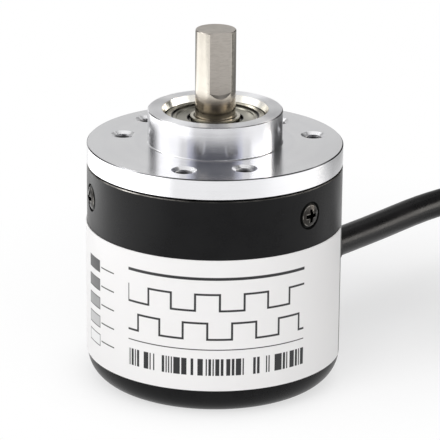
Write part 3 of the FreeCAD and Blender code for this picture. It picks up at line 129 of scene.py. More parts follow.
class ShaderNodes:
    """Node tree of a finish or of the surroundings."""

    def __init__(self, tree: bpy.types.NodeTree) -> None:
        """Takes the tree that gets the nodes."""
        self.tree = tree

    def add(self, kind: str, **options: object) -> Node:
        """Adds a node.

        Args:
            kind: Blender's name of the node's type.
            options: settings of the node itself.

        Returns:
            The new node.
        """
        node = self.tree.nodes.new(kind)
        for option, setting in options.items():
            setattr(node, option, setting)
        return node

    def feed(self, socket: Socket, level: object) -> None:
        """Links a socket to another one, or sets its own number, vector or colour.

        Args:
            socket: the socket that is fed.
            level: the other socket, or the number, vector or colour.
        """
        if isinstance(level, Socket):
            self.tree.links.new(level, socket)
        else:
            socket.default_value = level

    def fill(self, node: Node, levels: Sequence[Level]) -> Socket:
        """Feeds a node's first sockets in their order.

        Args:
            node: the node.
            levels: what the sockets get.

        Returns:
            The node's first output.
        """
        for socket, level in zip(node.inputs, levels):
            self.feed(socket, level)
        return node.outputs[0]

    def wire(self, node: Node, **levels: object) -> Node:
        """Feeds a node's sockets by their names, with _ for each space.

        Args:
            node: the node.
            levels: what the named sockets get.

        Returns:
            The same node.
        """
        for name, level in levels.items():
            self.feed(node.inputs[name.replace("_", " ")], level)
        return node

    def math(self, operation: str, *levels: Level) -> Socket:
        """One step of arithmetic, by Blender's name for it."""
        return self.fill(self.add("ShaderNodeMath", operation=operation), levels)

    def span(self, level: Level, low: float, high: float, start: float = 0.0, end: float = 1.0) -> Socket:
        """Stretches low to high onto start to end, and stays within them."""
        return self.fill(self.add("ShaderNodeMapRange"), (level, low, high, start, end))

    def both(self, first: Level, second: Level) -> Socket:
        """1 where both masks are 1."""
        return self.math("MULTIPLY", first, second)

    def either(self, *masks: Level) -> Level:
        """1 where any of the masks is 1."""
        return reduce(lambda first, second: self.math("MAXIMUM", first, second), masks)

    def seen(self) -> Level:
        """1 for the rays that show a thing to the eye: straight, mirrored or through glass."""
        rays = self.add("ShaderNodeLightPath").outputs
        return self.either(*[rays[f"Is {kind} Ray"] for kind in ("Camera", "Glossy", "Transmission")])


class FinishNodes(ShaderNodes):
    """Node tree of one finish, with every length in millimetres."""

    def __init__(self, name: str) -> None:
        """Starts a material that holds one principled shader.

        Args:
            name: the material's name.
        """
        self.material = bpy.data.materials.new(name)
        self.material.use_nodes = True
        super().__init__(self.material.node_tree)
        self.shader = self.tree.nodes["Principled BSDF"]

    def fix(self, **levels: object) -> None:
        """Feeds the shader's own sockets."""
        self.wire(self.shader, **levels)

    def fed(self, name: str) -> Socket:
        """What one of the shader's sockets is linked to."""
        return self.shader.inputs[name].links[0].from_socket

    def place(self) -> Socket:
        """Object coordinates in millimetres.

        Returns:
            The coordinates' socket.
        """
        scaled = self.add("ShaderNodeVectorMath", operation="SCALE")
        self.feed(scaled.inputs[0], self.add("ShaderNodeTexCoord").outputs["Object"])
        return self.wire(scaled, Scale=1 / MM).outputs[0]

    def split(self, vector: Socket) -> tuple[Socket, ...]:
        """The three parts of a vector."""
        return tuple(self.wire(self.add("ShaderNodeSeparateXYZ"), Vector=vector).outputs)

    def join(self, *parts: Level) -> Socket:
        """A vector of three parts."""
        return self.fill(self.add("ShaderNodeCombineXYZ"), parts)

    def radius(self, x: Level, y: Level) -> Socket:
        """Distance from where both parts are 0, which is the shaft's axis for a place."""
        squares = self.math("ADD", self.math("MULTIPLY", x, x), self.math("MULTIPLY", y, y))
        return self.math("SQRT", squares)

    def spoke(self, x: Level, y: Level, first: float, count: int) -> tuple[Socket, Socket]:
        """Place beside the nearest of evenly spaced spokes round the shaft's axis.

        Args:
            x: place across the shaft's axis.
            y: place across the shaft's axis.
            first: angle of the first spoke in degrees.
            count: number of spokes.

        Returns:
            Distance out along the spoke, and distance aside from it.
        """
        sector = FULL_TURN / count
        turn = self.math("SUBTRACT", self.math("ARCTAN2", y, x), math.radians(first) - sector / 2)
        off = self.math("SUBTRACT", self.math("FLOORED_MODULO", turn, sector), sector / 2)
        radius = self.radius(x, y)
        out = self.math("MULTIPLY", radius, self.math("COSINE", off))
        return out, self.math("MULTIPLY", radius, self.math("SINE", off))

    def noise(self, vector: Socket, grain: float, detail: float = 2.0) -> Socket:
        """Noise from 0 to 1 with clouds as wide as the grain and so many finer layers."""
        node = self.wire(self.add("ShaderNodeTexNoise"), Vector=vector, Scale=1 / grain, Detail=detail)
        return node.outputs["Fac"]

    def spread(self, noise: Level, start: float = 0.0, end: float = 1.0, margin: float = 0.3) -> Socket:
        """Stretches a noise, less a margin at both ends of its range, onto start to end."""
        return self.span(noise, margin, 1 - margin, start, end)

    def tint(self, share: Level, first: object, second: object) -> Socket:
        """Mixes two colours.

        Args:
            share: share of the second colour.
            first: the first colour or its socket.
            second: the second colour or its socket.

        Returns:
            The mixed colour's socket.
        """
        node = self.add("ShaderNodeMix", data_type="RGBA")
        self.feed(node.inputs[0], share)
        for index, colour in zip(MIX_COLOURS, (first, second)):
            self.feed(node.inputs[index], colour if isinstance(colour, Socket) else (*colour, 1.0))
        return node.outputs[MIX_RESULT]

    def inside(self, level: Level, limit: float, soft: float = SOFT) -> Socket:
        """1 below a limit, 0 above it."""
        return self.span(level, limit - soft, limit + soft, 1.0, 0.0)

    def outside(self, level: Level, limit: float, soft: float = SOFT) -> Socket:
        """0 below a limit, 1 above it."""
        return self.span(level, limit - soft, limit + soft)

    def stripe(self, level: Level, middle: float, width: float, soft: float = STRIPE_SOFT) -> Socket:
        """1 within a stripe of that width about its middle, 0 outside it."""
        return self.inside(self.math("ABSOLUTE", self.math("SUBTRACT", level, middle)), width / 2, soft)

    def panel(self, along: Level, up: Level, middle: Pair, size: Pair) -> Socket:
        """1 within a rectangle of that size about its middle, 0 outside it."""
        return self.both(self.stripe(along, middle[0], size[0]), self.stripe(up, middle[1], size[1]))

    def roughen(self, level: Level, roughness: float, play: float) -> None:
        """Lets the roughness follow a level of 0 to 1, with so much play to both sides."""
        self.fix(Roughness=self.span(level, 0.0, 1.0, roughness - play, roughness + play))

    def brush(self, anisotropy: float) -> None:
        """Stretches the highlights across rings round the shaft's axis."""
        rings = self.add("ShaderNodeTangent", direction_type="RADIAL", axis="Z").outputs[0]
        self.fix(Anisotropic=anisotropy, Anisotropic_Rotation=ACROSS_RINGS, Tangent=rings)

    def bump(self, height: Socket, depth: float) -> None:
        """Gives the surface a relief on top of the one that it has.

        Args:
            height: the relief, as a share of its depth.
            depth: its depth in millimetres.
        """
        node = self.wire(self.add("ShaderNodeBump"), Height=height, Distance=depth * MM)
        if self.shader.inputs["Normal"].is_linked:
            self.wire(node, Normal=self.fed("Normal"))
        self.fix(Normal=node.outputs[0])


@dataclass(frozen=True)
class Finish:
    """A surface finish, which becomes one material. Its lengths are millimetres, its angles degrees."""

    name: str

    def lay(self, nodes: FinishNodes) -> None:
        """Builds the finish from nodes."""
        raise NotImplementedError

    def material(self) -> bpy.types.Material:
        """Makes the finish's material the first time that it is asked for.

        Returns:
            The material.
        """
        key = f"finish_{self.name}"
        made = bpy.data.materials.get(key)
        if made is None:
            nodes = FinishNodes(key)
            self.lay(nodes)
            made = nodes.material
        return made


@dataclass(frozen=True)
class TurnedMetal(Finish):
    """Metal with the fine rings that a lathe or grinder leaves round the shaft's axis."""

    colour: Colour
    shade: Colour
    roughness: float
    rough_play: float = 0.05
    ring: float = 0.16
    ring_depth: float = 0.0006
    rings_in_band: float = 9.0
    smear: float = 5.0
    smear_margin: float = 0.35
    main_share: float = 0.6
    anisotropy: float = 0.8

    def lay(self, nodes: FinishNodes) -> None:
        """Rings in the surface, bands and smears in its colour and gloss.

        Args:
            nodes: the finish's nodes.
        """
        place = nodes.place()
        x, y, z = nodes.split(place)
        section = nodes.join(nodes.radius(x, y), z, 0.0)
        rings = nodes.noise(section, self.ring, detail=3.0)
        bands = nodes.noise(section, self.rings_in_band * self.ring, detail=1.0)
        smears = nodes.noise(place, self.smear, detail=3.0)
        rest = 1 - self.main_share
        tone = nodes.math("ADD", nodes.spread(bands, 0.0, self.main_share),
                          nodes.spread(smears, 0.0, rest, self.smear_margin))
        gloss = nodes.math("ADD", nodes.spread(smears, 0.0, self.main_share), nodes.spread(rings, 0.0, rest))
        nodes.fix(Base_Color=nodes.tint(tone, self.shade, self.colour), Metallic=1.0)
        nodes.brush(self.anisotropy)
        nodes.roughen(gloss, self.roughness, self.rough_play)
        nodes.bump(rings, self.ring_depth)


@dataclass(frozen=True)
class GapShadedRing(TurnedMetal):
    """Turned metal with painted shade, nearly black, in its narrow gaps between parts, each gap given by its
    middle radius and its width.
    """

    gaps: tuple[Pair, ...] = ()
    # Colour of the painted shade in the gaps.
    painted_shade: Colour = (0.016, 0.014, 0.011)

    def lay(self, nodes: FinishNodes) -> None:
        """Turned metal, then the painted shade in the gaps.

        Args:
            nodes: the finish's nodes.
        """
        super().lay(nodes)
        x, y, _ = nodes.split(nodes.place())
        radius = nodes.radius(x, y)
        # Painted shade: the narrow gaps between rings and shields are coloured nearly black.
        shaded_gaps = nodes.either(*[nodes.stripe(radius, middle, width) for middle, width in self.gaps])
        nodes.fix(Base_Color=nodes.tint(shaded_gaps, nodes.fed("Base Color"), self.painted_shade))


@dataclass(frozen=True)
class DrilledFlange(TurnedMetal):
    """The turned flange, with tapped holes that get painted shade deep inside, a warmer and darker bearing
    seat, a toned boss, a painted dark reflection on its rim's top edge and painted shade under its rim.

    Each ring of holes is given by its radius and the angle of its first hole.
    """

    rings_of_holes: tuple[Pair, ...] = ((15.0, 253.0), (14.0, 288.0))
    holes: int = 3
    hole_radius: float = 1.25
    wall_skin: float = 0.045
    mouth_radius: float = 1.85
    thread_top: float = FLANGE_FACE - 0.35
    pitch: float = 0.5
    thread_depth: float = 0.4
    lit_depth: float = 0.2
    dark_depth: float = 0.55
    # Painted shade under the rim and deep in the tapped holes.
    hollow_shade: Colour = (0.05, 0.05, 0.052)
    rim_foot: float = HOUSING_TOP + 0.13
    lip: float = 0.145
    # Painted dark reflection on the rim's top chamfer.
    lip_dark_reflection: Colour = (0.28, 0.28, 0.29)
    seat_radius: float = 7.9
    # A warmer, slightly darker tone inside the bearing seat.
    seat_tone: Colour = (0.84, 0.82, 0.76)
    boss_radius: float = 10.0
    boss_skin: float = 0.16
    boss_edge: float = 0.2
    boss_tone: Colour = (0.76, 0.76, 0.78)
    face_skin: float = 0.04
    mouth_blunt: float = 0.06
    hole_blunt: float = 0.5
    face_blunt: float = 0.24

    def tapped_holes(self, nodes: FinishNodes) -> tuple[Level, Level, Level]:
        """Finds the tapped holes.

        Args:
            nodes: the finish's nodes.

        Returns:
            Masks of the walls and of the mouths, and the threads' relief.
        """
        x, y, z = nodes.split(nodes.place())
        walls, mouths, threads = 0.0, 0.0, 0.0
        for circle, first in self.rings_of_holes:
            along, aside = nodes.spoke(x, y, first, self.holes)
            out = nodes.math("SUBTRACT", along, circle)
            reach = nodes.radius(out, aside)
            wall = nodes.inside(reach, self.hole_radius + self.wall_skin, CRISP)
            lead = nodes.math("DIVIDE", nodes.math("ARCTAN2", aside, out), FULL_TURN)
            spiral = nodes.math("ADD", nodes.math("DIVIDE", z, self.pitch), lead)
            walls = nodes.either(walls, wall)
            mouths = nodes.either(mouths, nodes.math("LESS_THAN", reach, self.mouth_radius))
            threads = nodes.math("ADD", threads, nodes.both(wall, nodes.math("PINGPONG", spiral, 0.5)))
        return walls, mouths, threads

    def lay(self, nodes: FinishNodes) -> None:
        """Turned metal, then the tones of the seat and boss, the painted dark reflection on the rim's top
        edge, the painted shade under the rim and deep in the holes, the blunt places and the threads.

        Args:
            nodes: the finish's nodes.
        """
        super().lay(nodes)
        x, y, z = nodes.split(nodes.place())
        radius = nodes.radius(x, y)
        walls, mouths, threads = self.tapped_holes(nodes)
        hole = nodes.both(walls, nodes.inside(z, self.thread_top - SOFT))
        depth = nodes.span(z, self.thread_top - self.dark_depth, self.thread_top - self.lit_depth, 1.0, 0.0)
        boss_middle = (self.boss_radius, (BOSS_FACE + FLANGE_FACE) / 2)
        boss_size = (self.boss_skin, BOSS_HEIGHT - 2 * self.boss_edge)
        # The rim's top chamfer, which gets a painted dark reflection.
        lip = nodes.both(nodes.outside(radius, BODY_RADIUS - self.lip, CRISP),
                         nodes.outside(z, FLANGE_FACE - self.lip, CRISP))
        metal = nodes.fed("Base Color")
        # Tones over the turned metal: a warmer, darker seat, a darker boss wall, a painted dark reflection on
        # the rim's top chamfer, and painted shade under the rim and deep in the holes.
        for mask, tone in (
            (nodes.inside(radius, self.seat_radius), self.seat_tone),
            (nodes.panel(radius, z, boss_middle, boss_size), self.boss_tone),
            (lip, self.lip_dark_reflection),
            (nodes.either(nodes.inside(z, self.rim_foot), nodes.both(walls, depth)), self.hollow_shade),
        ):
            metal = nodes.tint(mask, metal, tone)
        face = nodes.outside(z, BOSS_FACE - self.face_skin)
        blunt = nodes.either(nodes.math("MULTIPLY", mouths, self.mouth_blunt),
                             nodes.math("MULTIPLY", hole, self.hole_blunt),
                             nodes.math("MULTIPLY", face, self.face_blunt))
        nodes.fix(Base_Color=metal, Roughness=nodes.math("ADD", nodes.fed("Roughness"), blunt))
        nodes.bump(nodes.both(hole, threads), self.thread_depth)


@dataclass(frozen=True)
class FlattedShaft(Finish):
    """Ground steel shaft with a milled flat on one side and painted shade at its foot."""

    colour: Colour
    shade: Colour
    flat_colour: Colour
    flat_mark: Colour
    # Painted shade and dark reflection at the foot: its colour, then the heights over which it fades out
    # upwards.
    painted_shade: Colour
    shade_heights: Pair = (43.4, 44.8)
    roughness: float = 0.14
    flat_roughness: float = 0.34
    rough_play: float = 0.04
    anisotropy: float = 0.6
    radius: float = 3.0
    flat_skin: float = 0.02
    flat_step: float = 0.005
    flat_foot: float = 43.61
    foot_step: float = 0.01
    ring: float = 0.1
    ring_share: float = 0.15
    smear: float = 4.0
    sway: float = 1.6
    mottle: float = 0.3
    mottle_across: float = 0.3
    mottle_along: float = 1.3
    mottle_range: Pair = (0.34, 0.60)
    relief: float = 0.006

    def lay(self, nodes: FinishNodes) -> None:
        """Grinding rings round the shaft, a mottled skin on its flat and painted shade at its foot.

        Args:
            nodes: the finish's nodes.
        """
        place = nodes.place()
        x, y, z = nodes.split(place)
        radius = nodes.radius(x, y)
        flat = nodes.both(nodes.inside(radius, self.radius - self.flat_skin, self.flat_step),
                          nodes.outside(z, self.flat_foot, self.foot_step))
        rings = nodes.noise(nodes.join(radius, z, 0.0), self.ring, detail=3.0)
        across = [nodes.math("MULTIPLY", part, self.mottle_across) for part in (x, y)]
        along = nodes.math("MULTIPLY", z, self.mottle_along)
        swaying = nodes.math("ADD", along, nodes.noise(place, self.sway))
        mottle = nodes.noise(nodes.join(*across, swaying), self.mottle, detail=3.0)
        smears = nodes.spread(nodes.noise(place, self.smear, detail=3.0))
        steel = nodes.tint(smears, self.shade, self.colour)
        # Painted shade and dark reflection: the steel turns darker and browner towards the shaft's foot, by
        # the bearing.
        steel = nodes.tint(nodes.span(z, *self.shade_heights, 1.0, 0.0), steel, self.painted_shade)
        milled = nodes.tint(nodes.span(mottle, *self.mottle_range), self.flat_mark, self.flat_colour)
        rough = nodes.math("ADD", nodes.span(flat, 0.0, 1.0, self.roughness, self.flat_roughness),
                           nodes.spread(mottle, -self.rough_play, self.rough_play))
        nodes.fix(Base_Color=nodes.tint(flat, steel, milled), Metallic=1.0, Roughness=rough)
        nodes.brush(self.anisotropy)
        ground = nodes.math("MULTIPLY", rings, self.ring_share)
        nodes.bump(nodes.math("ADD", nodes.both(flat, mottle), ground), self.relief)


@dataclass(frozen=True)
class BareMetal(Finish):
    """Drawn, rolled or plated metal with faint scuffs."""

    colour: Colour
    shade: Colour
    roughness: float
    rough_play: float = 0.06
    scuff: float = 0.35
    scuff_depth: float = 0.0008
    scuffs_in_patch: float = 6.0

    def lay(self, nodes: FinishNodes) -> None:
        """Scuffs in the surface, patches in its colour and gloss.

        Args:
            nodes: the finish's nodes.
        """
        place = nodes.place()
        scuffs = nodes.noise(place, self.scuff, detail=4.0)
        patches = nodes.spread(nodes.noise(place, self.scuffs_in_patch * self.scuff))
        nodes.fix(Base_Color=nodes.tint(patches, self.shade, self.colour), Metallic=1.0)
        nodes.roughen(nodes.spread(scuffs), self.roughness, self.rough_play)
        nodes.bump(scuffs, self.scuff_depth)


@dataclass(frozen=True)
class CrossHead(BareMetal):
    """Blackened screws along radii, worn bright along the cross recess and round the top, which also paints
    glints there, with painted shade at the rim.
    """

    # Colour of the worn bright edges, which also paints their glints.
    glint: Colour = (0.24, 0.23, 0.21)
    # Colour of the painted shade at the head's rim.
    rim_shade: Colour = (0.003, 0.003, 0.003)
    head_radius: float = 1.9
    rim: float = 0.3
    rim_step: float = 0.025
    slot: float = 0.6
    slot_length: float = 2.0
    slot_step: float = 0.01
    rub: float = 0.09
    patch: float = 0.7
    patch_margin: float = 0.4

    def lay(self, nodes: FinishNodes) -> None:
        """Blackened metal, then the worn edges with their painted glints, and the painted shade at the rim.

        Args:
            nodes: the finish's nodes.
        """
        super().lay(nodes)
        place = nodes.place()
        x, y, z = nodes.split(place)
        aside = nodes.math("ABSOLUTE", nodes.spoke(x, y, SCREW_TURN, SCREWS)[1])
        up = nodes.math("ABSOLUTE", nodes.math("SUBTRACT", z, SCREW_HEIGHT))
        reach = nodes.radius(aside, up)
        top_radius = self.head_radius - self.rim
        edges = [nodes.stripe(reach, top_radius - self.rub, self.rub)]
        for across, along in ((aside, up), (up, aside)):
            edge = nodes.stripe(across, (self.slot + self.rub) / 2 + self.slot_step, self.rub, self.slot_step)
            edges.append(nodes.both(edge, nodes.stripe(along, 0.0, self.slot_length)))
        patches = nodes.spread(nodes.noise(place, self.patch), margin=self.patch_margin)
        # Worn bright edges in patches, which also paint the glints on the recess and round the top.
        black = nodes.tint(nodes.both(nodes.either(*edges), patches), nodes.fed("Base Color"), self.glint)
        # Painted shade: the head's rim is nearly black, for the shadow in the gap round it.
        shaded_rim = nodes.outside(reach, top_radius + self.rim_step, self.rim_step)
        nodes.fix(Base_Color=nodes.tint(shaded_rim, black, self.rim_shade))


@dataclass(frozen=True)
class TwistedStrands(BareMetal):
    """Bare wire of twisted strands."""

    strand: float = 0.24
    groove: float = 0.04

    def lay(self, nodes: FinishNodes) -> None:
        """Plated metal, with slanting grooves between the strands.

        Args:
            nodes: the finish's nodes.
        """
        super().lay(nodes)
        x, y, z = nodes.split(nodes.place())
        slant = nodes.math("ADD", nodes.math("ADD", x, y), z)
        turned = nodes.math("MULTIPLY", slant, FULL_TURN / self.strand)
        nodes.bump(nodes.math("SINE", turned), self.groove)


@dataclass(frozen=True)
class Moulded(Finish):
    """Plastic or rubber with a fine grain and slight unevenness."""

    colour: Colour
    shade: Colour
    roughness: float
    rough_play: float = 0.06
    grain: float = 0.12
    grain_depth: float = 0.002
    gloss: float = 0.5
    cloud: float = 4.0
    gloss_margin: float = 0.35

    def lay(self, nodes: FinishNodes) -> None:
        """Grain in the surface, clouds in its colour and gloss.

        Args:
            nodes: the finish's nodes.
        """
        place = nodes.place()
        grain = nodes.noise(place, self.grain)
        clouds = nodes.noise(place, self.cloud, detail=3.0)
        mean = nodes.math("MULTIPLY", nodes.math("ADD", grain, clouds), 0.5)
        nodes.fix(Base_Color=nodes.tint(nodes.spread(clouds), self.shade, self.colour),
                  Specular_IOR_Level=self.gloss)
        nodes.roughen(nodes.spread(mean, margin=self.gloss_margin), self.roughness, self.rough_play)
        nodes.bump(grain, self.grain_depth)


@dataclass(frozen=True)
class HighlitEdge(Moulded):
    """Black coat with a painted highlight, a bright metallic stripe, along its upper edge, and painted shade,
    black and fully rough, in the groove above it and in the screw seats.
    """

    edge: float = HOUSING_TOP - 0.24
    edge_width: float = 0.12
    # Colour of the painted highlight on the upper edge.
    edge_highlight: Colour = (0.45, 0.43, 0.40)
    patch: float = 2.5
    patch_margin: float = 0.35
    patch_least: float = 0.35
    metallic_from: float = 0.2
    seat_radius: float = 2.1
    # Colour of the painted shade in the groove and the screw seats.
    shaded_colour: Colour = (0.001, 0.001, 0.001)

    def lay(self, nodes: FinishNodes) -> None:
        """The coat, then the painted highlight on its edge and its painted shade.

        Args:
            nodes: the finish's nodes.
        """
        super().lay(nodes)
        place = nodes.place()
        x, y, z = nodes.split(place)
        patches = nodes.spread(nodes.noise(place, self.patch, detail=3.0), self.patch_least, 1.0,
                               self.patch_margin)
        # Painted highlight: a bright metallic stripe, in patches, along the housing's upper edge.
        glint = nodes.both(nodes.stripe(z, self.edge, self.edge_width, SOFT), patches)
        # Painted shade: the screw seats and the groove above the edge are black and fully rough.
        aside = nodes.spoke(x, y, SCREW_TURN, SCREWS)[1]
        reach = nodes.radius(aside, nodes.math("SUBTRACT", z, SCREW_HEIGHT))
        shaded_places = nodes.either(nodes.inside(reach, self.seat_radius),
                            nodes.outside(z, self.edge + self.edge_width / 2 + CRISP, CRISP))
        coat = nodes.tint(glint, nodes.fed("Base Color"), self.edge_highlight)
        nodes.fix(Base_Color=nodes.tint(shaded_places, coat, self.shaded_colour),
                  Roughness=nodes.either(nodes.fed("Roughness"), shaded_places),
                  Metallic=nodes.span(glint, 0.0, self.metallic_from))


@dataclass(frozen=True)
class PrintedFilm(Finish):
    """White label film with a generic print: a key of shades, the two output signals and a strip of bars.

    Places run along the label from its middle and up from its foot. Each wave is given by its low level and
    its shift in periods, each rule by its height and its width.
    """

    film: Colour
    ink: Colour
    shades: tuple[float, ...]
    roughness: float
    rough_play: float = 0.05
    middle_turn: float = 240.5
    radius: float = BODY_RADIUS + 0.15
    line: float = 0.32
    block: Pair = (10.4, 28.0)
    waves: tuple[Pair, ...] = ((12.4, 0.0), (8.0, 0.25))
    period: float = 7.2
    rise: float = 2.5
    rules: tuple[Pair, ...] = ((17.3, 0.45), (6.4, 0.16))
    bar: float = 0.2
    bar_row: Pair = (3.7, 2.6)
    key_top: float = 15.6
    key_step: float = 2.9
    swatch_place: float = -12.4
    swatch: Pair = (3.6, 1.6)
    swatch_frame: Pair = (3.9, 1.9)
    lead_place: float = -8.4
    lead: Pair = (3.4, 0.2)
    ripple: float = 7.0
    ripple_depth: float = 0.02
    fibre: float = 0.15
    fibre_depth: float = 0.001

    def signal(self, nodes: FinishNodes, along: Socket, up: Socket, low: float, shift: float) -> Socket:
        """Line of one square wave.

        Args:
            nodes: the finish's nodes.
            along: distance round the label.
            up: height on the label.
            low: height of the wave's low level.
            shift: share of a period that the wave starts early.

        Returns:
            Mask of the line.
        """
        phase = nodes.math("FRACT", nodes.math("ADD", nodes.math("DIVIDE", along, self.period), shift))
        high = nodes.math("LESS_THAN", phase, 0.5)
        level = nodes.math("ADD", nodes.math("MULTIPLY", high, self.rise), low)
        flat = nodes.stripe(nodes.math("SUBTRACT", up, level), 0.0, self.line)
        to_end = nodes.math("MINIMUM", phase, nodes.math("SUBTRACT", 1.0, phase))
        to_middle = nodes.math("ABSOLUTE", nodes.math("SUBTRACT", phase, 0.5))
        to_edge = nodes.math("MULTIPLY", nodes.math("MINIMUM", to_end, to_middle), self.period)
        edge = nodes.panel(to_edge, up, (0.0, low + self.rise / 2), (self.line, self.rise + self.line))
        return nodes.either(flat, edge)

    def lay(self, nodes: FinishNodes) -> None:
        """Film with a faint ripple, and the print on it.

        Args:
            nodes: the finish's nodes.
        """
        place = nodes.place()
        turned = nodes.wire(nodes.add("ShaderNodeVectorRotate", rotation_type="Z_AXIS"), Vector=place,
                            Angle=-math.radians(self.middle_turn))
        x, y, z = nodes.split(turned.outputs[0])
        along = nodes.math("MULTIPLY", nodes.math("ARCTAN2", y, x), self.radius)
        up = nodes.math("SUBTRACT", z, LABEL_FOOT)
        draw = nodes.add("ShaderNodeTexWhiteNoise", noise_dimensions="1D")
        nodes.wire(draw, W=nodes.math("FLOOR", nodes.math("DIVIDE", along, self.bar)))
        bars = nodes.both(nodes.math("LESS_THAN", draw.outputs[0], 0.5), nodes.stripe(up, *self.bar_row))
        lines = [self.signal(nodes, along, up, *wave) for wave in self.waves]
        lines += [nodes.stripe(up, *rule) for rule in self.rules]
        inked = nodes.both(nodes.stripe(along, *self.block), nodes.either(*lines, bars))
        colour = nodes.tint(inked, self.film, self.ink)
        for index, shade in enumerate(self.shades):
            height = self.key_top - self.key_step * index
            border = nodes.panel(along, up, (self.swatch_place, height), self.swatch_frame)
            lead = nodes.panel(along, up, (self.lead_place, height), self.lead)
            swatch = nodes.panel(along, up, (self.swatch_place, height), self.swatch)
            colour = nodes.tint(nodes.either(border, lead), colour, self.ink)
            colour = nodes.tint(swatch, colour, (shade, shade, shade))
        fibre = nodes.noise(place, self.fibre)
        nodes.fix(Base_Color=colour)
        nodes.roughen(nodes.spread(fibre), self.roughness, self.rough_play)
        nodes.bump(nodes.noise(place, self.ripple), self.ripple_depth)
        nodes.bump(fibre, self.fibre_depth)


@dataclass(frozen=True)
class SlottedGlass(Finish):
    """Glass with chrome bars round the shaft's axis, on a track given by its two radii."""

    chrome: Colour
    clear: Colour
    bars: int
    track: Pair
    roughness: float = 0.05
    clear_alpha: float = 0.35

    def lay(self, nodes: FinishNodes) -> None:
        """Chrome between the slots, clear glass in them and beside the track.

        Args:
            nodes: the finish's nodes.
        """
        x, y, _ = nodes.split(nodes.place())
        turn = nodes.math("MULTIPLY", nodes.math("ARCTAN2", y, x), self.bars / FULL_TURN)
        inner, outer = self.track
        ring = nodes.stripe(nodes.radius(x, y), (inner + outer) / 2, outer - inner)
        bar = nodes.both(nodes.math("LESS_THAN", nodes.math("FRACT", turn), 0.5), ring)
        nodes.fix(Base_Color=nodes.tint(bar, self.clear, self.chrome), Metallic=bar, Roughness=self.roughness,
                  Alpha=nodes.span(bar, 0.0, 1.0, self.clear_alpha, 1.0))


@dataclass(frozen=True)
class SolderMask(Finish):
    """Green board coating over copper runs."""

    mask: Colour
    run: Colour
    roughness: float = 0.28
    rough_play: float = 0.06
    run_length: float = 4.2
    run_pitch: float = 1.3
    run_width: float = 0.18
    run_depth: float = 0.03
    cloud: float = 3.0

    def lay(self, nodes: FinishNodes) -> None:
        """Runs that stand out a little under the coating.

        Args:
            nodes: the finish's nodes.
        """
        place = nodes.place()
        runs = nodes.wire(nodes.add("ShaderNodeTexBrick"), Vector=place, Scale=1.0,
                          Brick_Width=self.run_length, Row_Height=self.run_pitch, Mortar_Size=self.run_width)
        line = nodes.span(runs.outputs["Fac"], 0.0, 1.0)
        nodes.fix(Base_Color=nodes.tint(line, self.mask, self.run))
        nodes.roughen(nodes.spread(nodes.noise(place, self.cloud)), self.roughness, self.rough_play)
        nodes.bump(line, self.run_depth)


FLANGE_ALUMINIUM = DrilledFlange("flange_aluminium", (0.91, 0.91, 0.92), (0.85, 0.85, 0.87), roughness=0.18,
                                 anisotropy=0.92)
TURNED_ALUMINIUM = TurnedMetal("turned_aluminium", (0.90, 0.90, 0.91), (0.84, 0.84, 0.86), roughness=0.20)
BEARING_STEEL = GapShadedRing("bearing_steel", (0.70, 0.66, 0.56), (0.58, 0.55, 0.46), roughness=0.26, ring=0.08,
                          gaps=((4.09, 0.7), (6.45, 0.16), (7.42, 0.2)))
SHIELD_STEEL = GapShadedRing("shield_steel", (0.40, 0.385, 0.33), (0.31, 0.30, 0.25), roughness=0.30, ring=0.1,
                         gaps=((6.34, 0.14), (4.16, 0.1)))
GROUND_STEEL = FlattedShaft("ground_steel", (0.73, 0.69, 0.62), (0.63, 0.59, 0.52), (0.55, 0.51, 0.46),
                            flat_mark=(0.46, 0.425, 0.38), painted_shade=(0.42, 0.375, 0.315))
BALL_STEEL = BareMetal("ball_steel", (0.66, 0.66, 0.66), (0.60, 0.60, 0.60), roughness=0.08, rough_play=0.03)
BRASS = TurnedMetal("brass", (0.78, 0.58, 0.26), (0.66, 0.47, 0.19), roughness=0.24)
HOUSING_BLACK = HighlitEdge("housing_black", (0.0075, 0.0075, 0.008), (0.005, 0.005, 0.0055), roughness=0.30,
                         rough_play=0.05, grain=0.1, grain_depth=0.0012, gloss=0.13)
BLACK_SCREW = CrossHead("black_screw", (0.048, 0.044, 0.041), (0.026, 0.024, 0.022), roughness=0.24)
BLACK_GRUB = BareMetal("black_grub", (0.040, 0.038, 0.037), (0.022, 0.021, 0.020), roughness=0.30)
PLAIN_SCREW = BareMetal("plain_screw", (0.64, 0.63, 0.60), (0.52, 0.51, 0.49), roughness=0.26)
TINNED_WIRE = BareMetal("tinned_wire", (0.72, 0.72, 0.70), (0.58, 0.58, 0.57), roughness=0.28, scuff=0.12)
TINNED_STRANDS = TwistedStrands("tinned_strands", (0.72, 0.72, 0.70), (0.58, 0.58, 0.57), roughness=0.28,
                                scuff=0.12)
CAN_ALUMINIUM = BareMetal("can_aluminium", (0.78, 0.78, 0.79), (0.68, 0.68, 0.70), roughness=0.3)
READER_BLACK = Moulded("reader_black", (0.016, 0.016, 0.017), (0.011, 0.011, 0.012), roughness=0.5)
EMITTER_RESIN = Moulded("emitter_resin", (0.10, 0.09, 0.16), (0.07, 0.06, 0.12), roughness=0.12,
                        rough_play=0.03, grain=0.3, grain_depth=0.0005)
SENSOR_RESIN = Moulded("sensor_resin", (0.03, 0.026, 0.03), (0.02, 0.018, 0.02), roughness=0.14,
                       rough_play=0.03, grain=0.3, grain_depth=0.0005)
CHIP_BLACK = Moulded("chip_black", (0.02, 0.02, 0.021), (0.014, 0.014, 0.015), roughness=0.55,
                     rough_play=0.05, grain=0.08, grain_depth=0.003)
GROMMET_RUBBER = Moulded("grommet_rubber", (0.016, 0.016, 0.016), (0.011, 0.011, 0.011), roughness=0.55,
                         grain=0.2, grain_depth=0.003)
CABLE_JACKET = Moulded("cable_jacket", (0.011, 0.0105, 0.011), (0.008, 0.0078, 0.008), roughness=0.30,
                       rough_play=0.05, grain=0.25, grain_depth=0.001, gloss=0.35)
